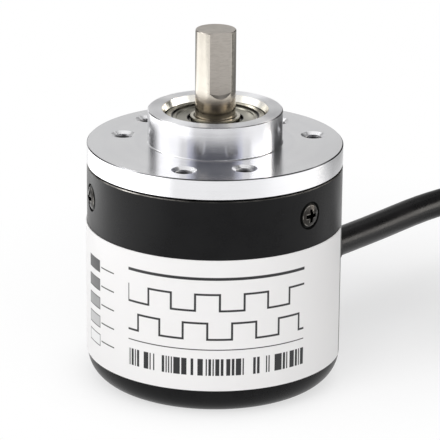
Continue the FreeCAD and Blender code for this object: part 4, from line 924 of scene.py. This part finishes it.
SLEEVE_BLACK = Moulded("sleeve_black", (0.014, 0.014, 0.014), (0.010, 0.010, 0.010), roughness=0.32,
                       rough_play=0.05, grain=0.5, grain_depth=0.006)
TIE_NYLON = Moulded("tie_nylon", (0.02, 0.02, 0.021), (0.014, 0.014, 0.015), roughness=0.38,
                    rough_play=0.05, grain=0.3, grain_depth=0.003)
DISC_GLASS = SlottedGlass("disc_glass", (0.55, 0.56, 0.58), (0.80, 0.84, 0.84), bars=600, track=(10.9, 13.0))
BOARD_GREEN = SolderMask("board_green", (0.012, 0.10, 0.035), (0.03, 0.17, 0.06))
LABEL_FILM = PrintedFilm("label_film", (0.83, 0.82, 0.815), (0.012, 0.012, 0.014),
                         shades=(0.02, 0.12, 0.3, 0.5, 0.8), roughness=0.34)
WIRE_COLOURS = {
    "red": (0.52, 0.018, 0.016),
    "black": (0.014, 0.014, 0.015),
    "green": (0.02, 0.26, 0.06),
    "white": (0.78, 0.77, 0.74),
    "grey": (0.27, 0.28, 0.29),
}
WIRE_SHADE = 0.75
INSULATION = {
    name: Moulded(f"wire_{name}", colour, tuple(WIRE_SHADE * part for part in colour), roughness=0.36,
                  rough_play=0.05, grain=0.2)
    for name, colour in WIRE_COLOURS.items()
}


def clear_selection() -> None:
    """Deselects every object."""
    bpy.ops.object.select_all(action="DESELECT")


def leave_edit() -> None:
    """Goes back to object mode."""
    bpy.ops.object.mode_set(mode="OBJECT")


def add_block(low: Point, high: Point) -> Piece:
    """Adds a block, with its place in its mesh.

    Args:
        low: its lowest corner in millimetres.
        high: its highest corner in millimetres.

    Returns:
        The block.
    """
    clear_selection()
    middle = (Vector(low) + Vector(high)) / 2 * MM
    bpy.ops.mesh.primitive_cube_add(size=1.0, location=middle, scale=(Vector(high) - Vector(low)) * MM)
    bpy.ops.object.transform_apply(location=True, rotation=True, scale=True)
    return bpy.context.active_object


def edit_only(block: Piece, element: Element, way: Point) -> None:
    """Enters edit mode with only the faces selected that look one way, or the edges that run that way.

    Args:
        block: the piece.
        element: whether faces or edges are selected.
        way: the direction.
    """
    bpy.context.tool_settings.mesh_select_mode = element.value
    bpy.ops.object.mode_set(mode="EDIT")
    bpy.ops.mesh.select_all(action="DESELECT")
    leave_edit()
    if element is Element.FACE:
        for face in block.data.polygons:
            face.select = face.normal.dot(Vector(way)) > IN_LINE
    else:
        for edge in block.data.edges:
            start, end = (block.data.vertices[index].co for index in edge.vertices)
            edge.select = abs((end - start).normalized().dot(Vector(way))) > IN_LINE
    bpy.ops.object.mode_set(mode="EDIT")


def finish_with(block: Piece, kind: str, **settings: object) -> None:
    """Adds a modifier to a piece and applies it.

    Args:
        block: the piece.
        kind: Blender's name of the modifier's type.
        settings: settings of the modifier.
    """
    clear_selection()
    block.select_set(True)
    bpy.context.view_layer.objects.active = block
    modifier = block.modifiers.new(kind.lower(), kind)
    for name, setting in settings.items():
        setattr(modifier, name, setting)
    bpy.ops.object.modifier_apply(modifier=modifier.name)


def round_edges(block: Piece, width: float) -> None:
    """Rounds the sharp edges of a piece, by a width in millimetres."""
    finish_with(block, "BEVEL", width=width * MM, segments=2, limit_method="ANGLE", angle_limit=SHARP_EDGE)


def ease(share: float) -> float:
    """Goes from 0 to 1 with a smooth start and end."""
    return share * share * (3 - 2 * share)


def dress(finish: Finish, *names: str) -> None:
    """Gives CAD nodes their finish.

    Args:
        finish: the finish.
        names: the nodes.
    """
    for name in names:
        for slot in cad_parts[name].material_slots:
            slot.material = finish.material()
        log.info("%s: %s", name, finish.name)


@dataclass
class Viewpoint:
    """The photograph's camera: metres and degrees, with lens and sensor in millimetres."""

    place: Point = (0.000841, -0.415186, 0.165476)
    tilt: float = 71.196
    roll: float = 0.511
    lens: float = 240.16
    sensor: float = 36.0
    nearest: float = 0.01
    farthest: float = 20.0

    def build(self) -> None:
        """Makes the camera and gives it to the scene."""
        camera = bpy.data.cameras.new("viewpoint")
        camera.lens = self.lens
        camera.sensor_width = self.sensor
        camera.clip_start = self.nearest
        camera.clip_end = self.farthest
        holder = bpy.data.objects.new("viewpoint", camera)
        tilt = Matrix.Rotation(math.radians(self.tilt), 4, "X")
        roll = Matrix.Rotation(math.radians(self.roll), 4, "Z")
        holder.matrix_world = Matrix.Translation(self.place) @ tilt @ roll
        bpy.context.scene.collection.objects.link(holder)
        bpy.context.scene.camera = holder


@dataclass
class CoilTie:
    """Nylon tie round the coil: band, head with its slot and window, and the strap's cut end. Millimetres.

    It is built on the X axis, with the coil's middle at the origin, and then turned to its place. Slot and
    window are given by their border and their depth.
    """

    inside: float = COIL_RADIUS - COIL_WIDTH / 2
    outside: float = COIL_RADIUS + COIL_WIDTH / 2
    top: float = COIL_WIDTH
    corner: float = CABLE_DIAMETER / 2
    corner_steps: int = 8
    width: float = 2.5
    thickness: float = 0.8
    band_round: float = 0.15
    head: float = 3.6
    head_depth: float = 2.6
    head_width: float = 3.3
    head_round: float = 0.18
    slot: Pair = (0.45, 0.7)
    window: Pair = (0.9, 0.4)
    strap_end: float = 10.4
    strap_play: float = 0.2
    strap_round: float = 0.12
    tooth: float = 0.2
    tooth_border: float = 0.3
    tooth_root: float = 0.05
    tooth_round: float = 0.05
    tooth_step: float = 0.28
    teeth: int = 6

    def build_band(self) -> Piece:
        """Makes the closed band: a block with round corners, opened at both sides and given its thickness.

        Returns:
            The band.
        """
        half = self.width / 2
        band = add_block((self.inside, -half, 0.0), (self.outside, half, self.top))
        edit_only(band, Element.EDGE, (0.0, 1.0, 0.0))
        bpy.ops.mesh.bevel(offset=self.corner * MM, segments=self.corner_steps, affect="EDGES")
        leave_edit()
        for side in (-1.0, 1.0):
            edit_only(band, Element.FACE, (0.0, side, 0.0))
            bpy.ops.mesh.delete(type="FACE")
            leave_edit()
        finish_with(band, "SOLIDIFY", thickness=self.thickness * MM, offset=-1.0, use_even_offset=True)
        round_edges(band, self.band_round)
        return band

    def build_head(self) -> Piece:
        """Makes the head: a block with the strap's slot in its top and the catch's window in its front.

        Returns:
            The head.
        """
        half, level = self.head_width / 2, self.top / 2
        head = add_block((self.outside - self.thickness / 2, -half, level - self.head / 2),
                         (self.outside + self.head_depth, half, level + self.head / 2))
        for way, (border, depth) in (((0.0, 0.0, 1.0), self.slot), ((1.0, 0.0, 0.0), self.window)):
            edit_only(head, Element.FACE, way)
            bpy.ops.mesh.inset(thickness=border * MM, depth=0.0)
            bpy.ops.mesh.extrude_region_move(TRANSFORM_OT_translate={"value": Vector(way) * -depth * MM})
            leave_edit()
        round_edges(head, self.head_round)
        return head

    def build_end(self) -> list[Piece]:
        """Makes the strap's cut end, which comes out of the head's slot.

        Returns:
            The strap and its teeth.
        """
        half, level = self.width / 2 - self.strap_play, self.top / 2
        start = self.outside + self.head_depth / 2 - self.thickness / 2
        end = start + self.thickness
        strap = add_block((start, -half, level), (end, half, self.strap_end))
        round_edges(strap, self.strap_round)
        foot = level + self.head / 2
        ridge = add_block((end - self.tooth_root, self.tooth_border - half, foot),
                          (end + self.tooth, half - self.tooth_border, foot + self.tooth))
        finish_with(ridge, "ARRAY", count=self.teeth, use_relative_offset=False, use_constant_offset=True,
                    constant_offset_displace=(0.0, 0.0, self.tooth_step * MM))
        round_edges(ridge, self.tooth_round)
        return [strap, ridge]

    def build(self) -> Piece:
        """Joins the parts of the tie, turns it to its place on the coil and dresses it.

        Returns:
            The tie.
        """
        parts = [self.build_band(), self.build_head(), *self.build_end()]
        clear_selection()
        for part in parts:
            part.select_set(True)
        tie = parts[0]
        bpy.context.view_layer.objects.active = tie
        bpy.ops.object.join()
        tie.name = "tie_strap"
        tie.rotation_euler.z = math.radians(TIE_TURN)
        tie.location = (COIL_MIDDLE[0] * MM, COIL_MIDDLE[1] * MM, 0.0)
        bpy.ops.object.transform_apply(location=True, rotation=True, scale=True)
        bpy.ops.object.shade_smooth_by_angle(angle=SMOOTH_EDGE)
        tie.data.materials.append(TIE_NYLON.material())
        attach(tie, STATOR)
        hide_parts("coil_tie")
        log.info("tie_strap: %d faces", len(tie.data.polygons))
        return tie


@dataclass
class SignalCable:
    """The cable: its visible run, the tied coil that puts its length away, and its bare end.

    Millimetres and degrees. The tail's points are given by their radius and angle about the coil's middle.
    """

    length: float = 1520.0
    exit: Point = (18.11, 19.21, 13.5)
    route: tuple[Point, ...] = (
        (9.19, 9.75, 13.5), (22.63, 24.02, 13.6), (35.9, 39.0, 14.3), (45.6, 48.6, 12.8),
        (58.9, 52.0, 8.2), (72.7, 48.9, 3.5), (85.36, 43.01, 2.25),
    )
    layers: int = 3
    entry_turn: float = 65.0
    squeeze: float = 0.85
    squeeze_reach: float = 14.0
    step_turn: float = 75.0
    bulge: float = 2.0
    points_per_turn: int = 24
    tail: tuple[Pair, ...] = ((22.0, 38.0), (23.6, 12.0), (26.6, -12.0))
    tail_height: float = 16.15
    round_steps: int = 5
    line_steps: int = 6

    def polar(self, radius: float, turn: float, height: float) -> Vector:
        """Point about the coil's middle."""
        x, y = (radius * part(math.radians(turn)) for part in (math.cos, math.sin))
        return Vector((COIL_MIDDLE[0] + x, COIL_MIDDLE[1] + y, height))

    def lane(self, index: int) -> Pair:
        """Finds one turn of the coil, which is wound in, out and in again, layer on layer.

        Args:
            index: number of the turn.

        Returns:
            Its radius and its height.
        """
        layer, step = divmod(index, COIL_LANES)
        across = step if layer == 1 else COIL_LANES - 1 - step
        radius = COIL_RADIUS + (across - (COIL_LANES - 1) / 2) * CABLE_DIAMETER
        return radius, CABLE_DIAMETER * (layer + 0.5)

    def turns(self) -> list[Vector]:
        """Winds the coil: each turn steps over to the next lane before it closes, and the tie draws all in.

        Returns:
            The points of its turns.
        """
        wider = 1 / math.cos(math.pi / self.points_per_turn)
        middle = COIL_WIDTH / 2
        lanes = [self.lane(index) for index in range(COIL_LANES * self.layers)]
        lanes.append((COIL_RADIUS - CABLE_DIAMETER, self.tail_height))
        points = []
        for (radius, height), (next_radius, next_height) in zip(lanes, lanes[1:]):
            side = 1 if radius > COIL_RADIUS else -1
            bulge = 0.0 if height == next_height else side * self.bulge
            for number in range(1, self.points_per_turn + 1):
                gone = 360 * number / self.points_per_turn
                over = ease(max(0.0, (gone - 360 + self.step_turn) / self.step_turn))
                out = radius + (next_radius - radius) * over + bulge * math.sin(math.pi * over)
                up = height + (next_height - height) * over
                turn = self.entry_turn - gone
                from_tie = abs((turn - TIE_TURN + 180) % 360 - 180)
                drawn = 1 - (1 - self.squeeze) * ease(max(0.0, 1 - from_tie / self.squeeze_reach))
                out = COIL_RADIUS + (out - COIL_RADIUS) * drawn
                points.append(self.polar(out * wider, turn, middle + (up - middle) * drawn))
        return points

    def build(self, tie: Piece) -> Piece:
        """Args:
            tie: the tie round its coil.

        Returns:
            The cable.
        """
        points = [Vector(point) for point in self.route] + self.turns()
        points += [self.polar(radius, turn, self.tail_height) for radius, turn in self.tail]
        curve = bpy.data.curves.new("signal_cable", "CURVE")
        curve.dimensions = "3D"
        curve.bevel_depth = CABLE_DIAMETER / 2 * MM
        curve.bevel_resolution = self.round_steps
        curve.resolution_u = self.line_steps
        curve.use_fill_caps = True
        line = curve.splines.new("NURBS")
        line.points.add(len(points) - 1)
        for knot, point in zip(line.points, points):
            knot.co = (*(point * MM), 1.0)
        line.order_u = 3
        line.use_endpoint_u = True
        cable = bpy.data.objects.new("signal_cable", curve)
        bpy.context.scene.collection.objects.link(cable)
        curve.materials.append(CABLE_JACKET.material())
        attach(cable, STATOR)
        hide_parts("cable_lead", "cable_coil", "cable_tail")
        ends = ["lead_sleeve", "lead_tips"] + [f"lead_{name}" for name in WIRE_COLOURS]
        on_it = [tie] + [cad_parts[name] for name in ends]
        for piece in [cable, *on_it]:
            piece.visible_glossy = False
        log.info("signal_cable: %d points", len(points))
        return cable

    def dress(self) -> None:
        """Finishes of the pieces on the cable and of the wires inside."""
        dress(GROMMET_RUBBER, "cable_grommet")
        dress(BRASS, "cable_crimp")
        dress(SLEEVE_BLACK, "lead_sleeve")
        dress(TINNED_STRANDS, "lead_tips")
        for name, finish in INSULATION.items():
            dress(finish, f"lead_{name}", f"board_wire_{name}")


@dataclass
class Enclosure:
    """Flange, cup housing, its screws and its label."""

    def dress(self) -> None:
        """Finishes of the outside."""
        dress(FLANGE_ALUMINIUM, "mounting_flange")
        dress(HOUSING_BLACK, "housing")
        dress(BLACK_SCREW, "housing_screws")
        dress(LABEL_FILM, "label")


@dataclass
class Bearing:
    """One shielded ball bearing."""

    side: Side

    def dress(self) -> None:
        """Finishes of its rings, cage, shields and balls."""
        bearing = f"{self.side.value}_bearing"
        dress(BEARING_STEEL, f"{bearing}_outer_ring", f"{bearing}_inner_ring", f"{bearing}_cage")
        dress(SHIELD_STEEL, f"{bearing}_shields")
        dress(BALL_STEEL, f"{bearing}_balls")


@dataclass
class Rotor:
    """Shaft and code disc."""

    def dress(self) -> None:
        """Finishes of the turning pieces."""
        dress(GROUND_STEEL, "shaft")
        dress(TURNED_ALUMINIUM, "disc_hub")
        dress(BLACK_GRUB, "hub_set_screws")
        dress(DISC_GLASS, "code_disc")
        dress(BRASS, "disc_clamp_ring")


@dataclass
class Reader:
    """Optical reader and circuit board."""

    def dress(self) -> None:
        """Finishes of the reader and of the board with its parts."""
        dress(READER_BLACK, "optical_head")
        dress(EMITTER_RESIN, "emitter")
        dress(TINNED_WIRE, "emitter_leads")
        dress(SENSOR_RESIN, "detector")
        dress(DISC_GLASS, "scanning_mask")
        dress(BOARD_GREEN, "circuit_board")
        dress(BRASS, "board_posts")
        dress(PLAIN_SCREW, "board_screws")
        dress(CHIP_BLACK, "signal_chip", "chip_resistors")
        dress(CAN_ALUMINIUM, "filter_capacitor")


@dataclass
class SoftBox:
    """A studio lamp with a soft front, aimed at the encoder. Metres and watts."""

    name: str
    place: Point
    width: float
    height: float
    power: float
    aim: Point = (0.0, 0.0, 0.025)

    def build(self) -> None:
        """Makes the lamp."""
        lamp = bpy.data.lights.new(self.name, "AREA")
        lamp.shape = "RECTANGLE"
        lamp.size = self.width
        lamp.size_y = self.height
        lamp.energy = self.power
        holder = bpy.data.objects.new(self.name, lamp)
        holder.location = self.place
        holder.rotation_euler = (Vector(self.aim) - Vector(self.place)).to_track_quat("-Z", "Y").to_euler()
        holder.visible_glossy = False
        bpy.context.scene.collection.objects.link(holder)


@dataclass
class Card:
    """A studio card that only polished surfaces see. Metres and degrees.

    Its light goes from one level in the middle to another at two edges, over a share of its width.
    """

    name: str
    place: Point
    width: float
    height: float
    middle_level: float
    edge_level: float
    fade: float
    stand: Stand = Stand.FLAT
    turn: float = 0.0
    hue: Colour = WHITE

    def build(self) -> None:
        """Makes the card."""
        clear_selection()
        rotation = (math.radians(self.stand.value), 0.0, math.radians(self.turn))
        bpy.ops.mesh.primitive_plane_add(size=1.0, location=self.place, rotation=rotation)
        card = bpy.context.active_object
        card.name = self.name
        card.scale = (self.width, self.height, 1.0)
        nodes = FinishNodes(f"finish_{self.name}")
        across = nodes.math("ABSOLUTE", nodes.split(nodes.place())[0])
        light = nodes.span(across, (0.5 - self.fade) / MM, 0.5 / MM, self.middle_level, self.edge_level)
        nodes.fix(Base_Color=(0.0, 0.0, 0.0, 1.0), Specular_IOR_Level=0.0, Emission_Color=(*self.hue, 1.0),
                  Emission_Strength=light)
        card.data.materials.append(nodes.material)
        for ray in Ray:
            setattr(card, ray.value, ray is Ray.GLOSSY)


@dataclass(frozen=True)
class ShadeSpot:
    """A round part of the floor that keeps its shadow and turns white outwards. Metres."""

    middle: Pair
    white: float
    inner: float
    outer: float

    def whiteness(self, nodes: FinishNodes, x: Socket, y: Socket) -> Socket:
        """Share of plain white in the floor, which is 1 outside the spot, from a place in millimetres."""
        away = [nodes.math("SUBTRACT", part, middle / MM) for part, middle in zip((x, y), self.middle)]
        return nodes.span(nodes.radius(*away), self.inner / MM, self.outer / MM, self.white, 1.0)


@dataclass
class Studio:
    """Pale floor, white surroundings, soft lamps and the cards that give the metal its contrast."""

    lamps: Sequence[SoftBox] = (
        SoftBox("left_softbox", (-0.55, -0.70, 0.60), 0.6, 0.6, 2.8),
        SoftBox("right_softbox", (0.60, -0.60, 0.45), 0.5, 0.5, 0.35),
        SoftBox("top_softbox", (-0.10, -0.15, 0.95), 0.9, 0.9, 1.7),
    )
    cards: Sequence[Card] = (
        Card("front_card", (0.0, -0.62, 0.40), 1.38, 0.82, 0.13, 0.95, 0.24, Stand.UPRIGHT,
             hue=(0.94, 0.96, 1.12)),
        Card("ceiling_card", (0.0, -0.37, 0.81), 1.2, 0.50, 0.10, 0.60, 0.2),
        Card("right_ceiling", (0.68, 0.05, 0.75), 0.86, 0.90, 0.10, 0.40, 0.2),
        Card("back_card", (0.0, 0.90, 0.55), 0.72, 0.95, 0.65, 0.65, 0.2, Stand.UPRIGHT),
        Card("left_wing", (-0.580, 0.622, 0.50), 0.62, 0.70, 0.10, 0.75, 0.4, Stand.UPRIGHT, 43.0),
        Card("right_wing", (0.611, 0.590, 0.50), 0.70, 0.70, 0.12, 0.75, 0.4, Stand.UPRIGHT, -46.0),
        Card("left_board", (-0.70, -0.05, 0.26), 0.80, 0.40, 1.60, 1.0, 0.2, Stand.UPRIGHT, 90.0),
        Card("right_board", (0.70, -0.12, 0.22), 0.55, 0.32, 2.0, 1.1, 0.2, Stand.UPRIGHT, 90.0),
        Card("left_strip", (-0.465, 0.169, 0.55), 0.35, 0.20, 4.0, 1.0, 0.3, Stand.UPRIGHT, 70.0),
        Card("left_glow", (-0.155, 0.005, 0.0007), 0.08, 0.21, 1.55, 1.55, 0.25),
        Card("near_glow", (-0.0925, 0.005, 0.0008), 0.055, 0.21, 2.5, 1.5, 0.25),
        Card("right_glow", (0.125, -0.02, 0.0006), 0.11, 0.16, 1.2, 1.0, 0.25),
        Card("right_mat", (0.112, 0.112, 0.0007), 0.12, 0.20, 0.20, 0.9, 0.25, turn=45.0),
        Card("back_mat", (0.0, 0.32, 0.0005), 0.70, 0.36, 0.25, 0.40, 0.1),
        Card("cable_mat", (0.060, 0.046, 0.0009), 0.040, 0.020, 0.35, 0.6, 0.2),
        Card("cable_flag", (0.085, 0.06, 0.045), 0.06, 0.12, 0.02, 0.02, 0.1),
        Card("cable_board", (0.42, 0.09, 0.12), 0.14, 0.24, 4.4, 2.0, 0.2, Stand.UPRIGHT, 90.0,
             hue=(1.05, 1.0, 0.94)),
        Card("back_flag", (0.14, 0.12, 0.07), 0.22, 0.10, 0.05, 0.40, 0.15, Stand.UPRIGHT),
    )
    shade_spots: Sequence[ShadeSpot] = (
        ShadeSpot((0.020, 0.034), 0.36, 0.008, 0.066),
        ShadeSpot((0.0, 0.004), 0.65, 0.019, 0.031),
        ShadeSpot((0.082, 0.0165), 0.50, 0.026, 0.042),
    )
    floor_size: float = 8.0
    floor_level: float = -0.00002
    floor_colour: Colour = (0.94, 0.94, 0.945)
    floor_roughness: float = 0.7
    floor_gloss: float = 0.2
    fill: float = 0.75

    def build_floor(self) -> None:
        """Floor that keeps the shadows near the encoder and is white farther out."""
        clear_selection()
        bpy.ops.mesh.primitive_plane_add(size=self.floor_size, location=(0.0, 0.0, self.floor_level))
        floor = bpy.context.active_object
        floor.name = "floor"
        nodes = FinishNodes("finish_floor")
        nodes.fix(Base_Color=(*self.floor_colour, 1.0), Roughness=self.floor_roughness,
                  Specular_IOR_Level=self.floor_gloss)
        x, y, _ = nodes.split(nodes.place())
        white = 1.0
        for spot in self.shade_spots:
            white = nodes.math("MINIMUM", white, spot.whiteness(nodes, x, y))
        glow = nodes.add("ShaderNodeEmission").outputs[0]
        mixed = nodes.fill(nodes.add("ShaderNodeMixShader"),
                           (nodes.both(white, nodes.seen()), nodes.shader.outputs[0], glow))
        nodes.wire(nodes.tree.nodes["Material Output"], Surface=mixed)
        floor.data.materials.append(nodes.material)

    def build_surroundings(self) -> None:
        """White surroundings, dimmer as a lamp than to the eye."""
        world = bpy.data.worlds.new("surroundings")
        world.use_nodes = True
        bpy.context.scene.world = world
        nodes = ShaderNodes(world.node_tree)
        nodes.wire(nodes.tree.nodes["Background"], Color=(*WHITE, 1.0),
                   Strength=nodes.span(nodes.seen(), 0.0, 1.0, self.fill, 1.0))

    def build(self) -> None:
        """Sets up the whole studio."""
        self.build_floor()
        for card in self.cards:
            card.build()
        self.build_surroundings()
        for lamp in self.lamps:
            lamp.build()
        bpy.context.scene.view_settings.view_transform = "Standard"


def main() -> None:
    """Builds the camera, the pieces, their finishes and the studio."""
    logging.basicConfig(level=logging.INFO, format="%(message)s")
    clear_selection()
    Viewpoint().build()
    cable = SignalCable()
    cable.build(CoilTie().build())
    cable.dress()
    Enclosure().dress()
    for side in Side:
        Bearing(side).dress()
    Rotor().dress()
    Reader().dress()
    Studio().build()


if __name__ == "__main__":
    main()
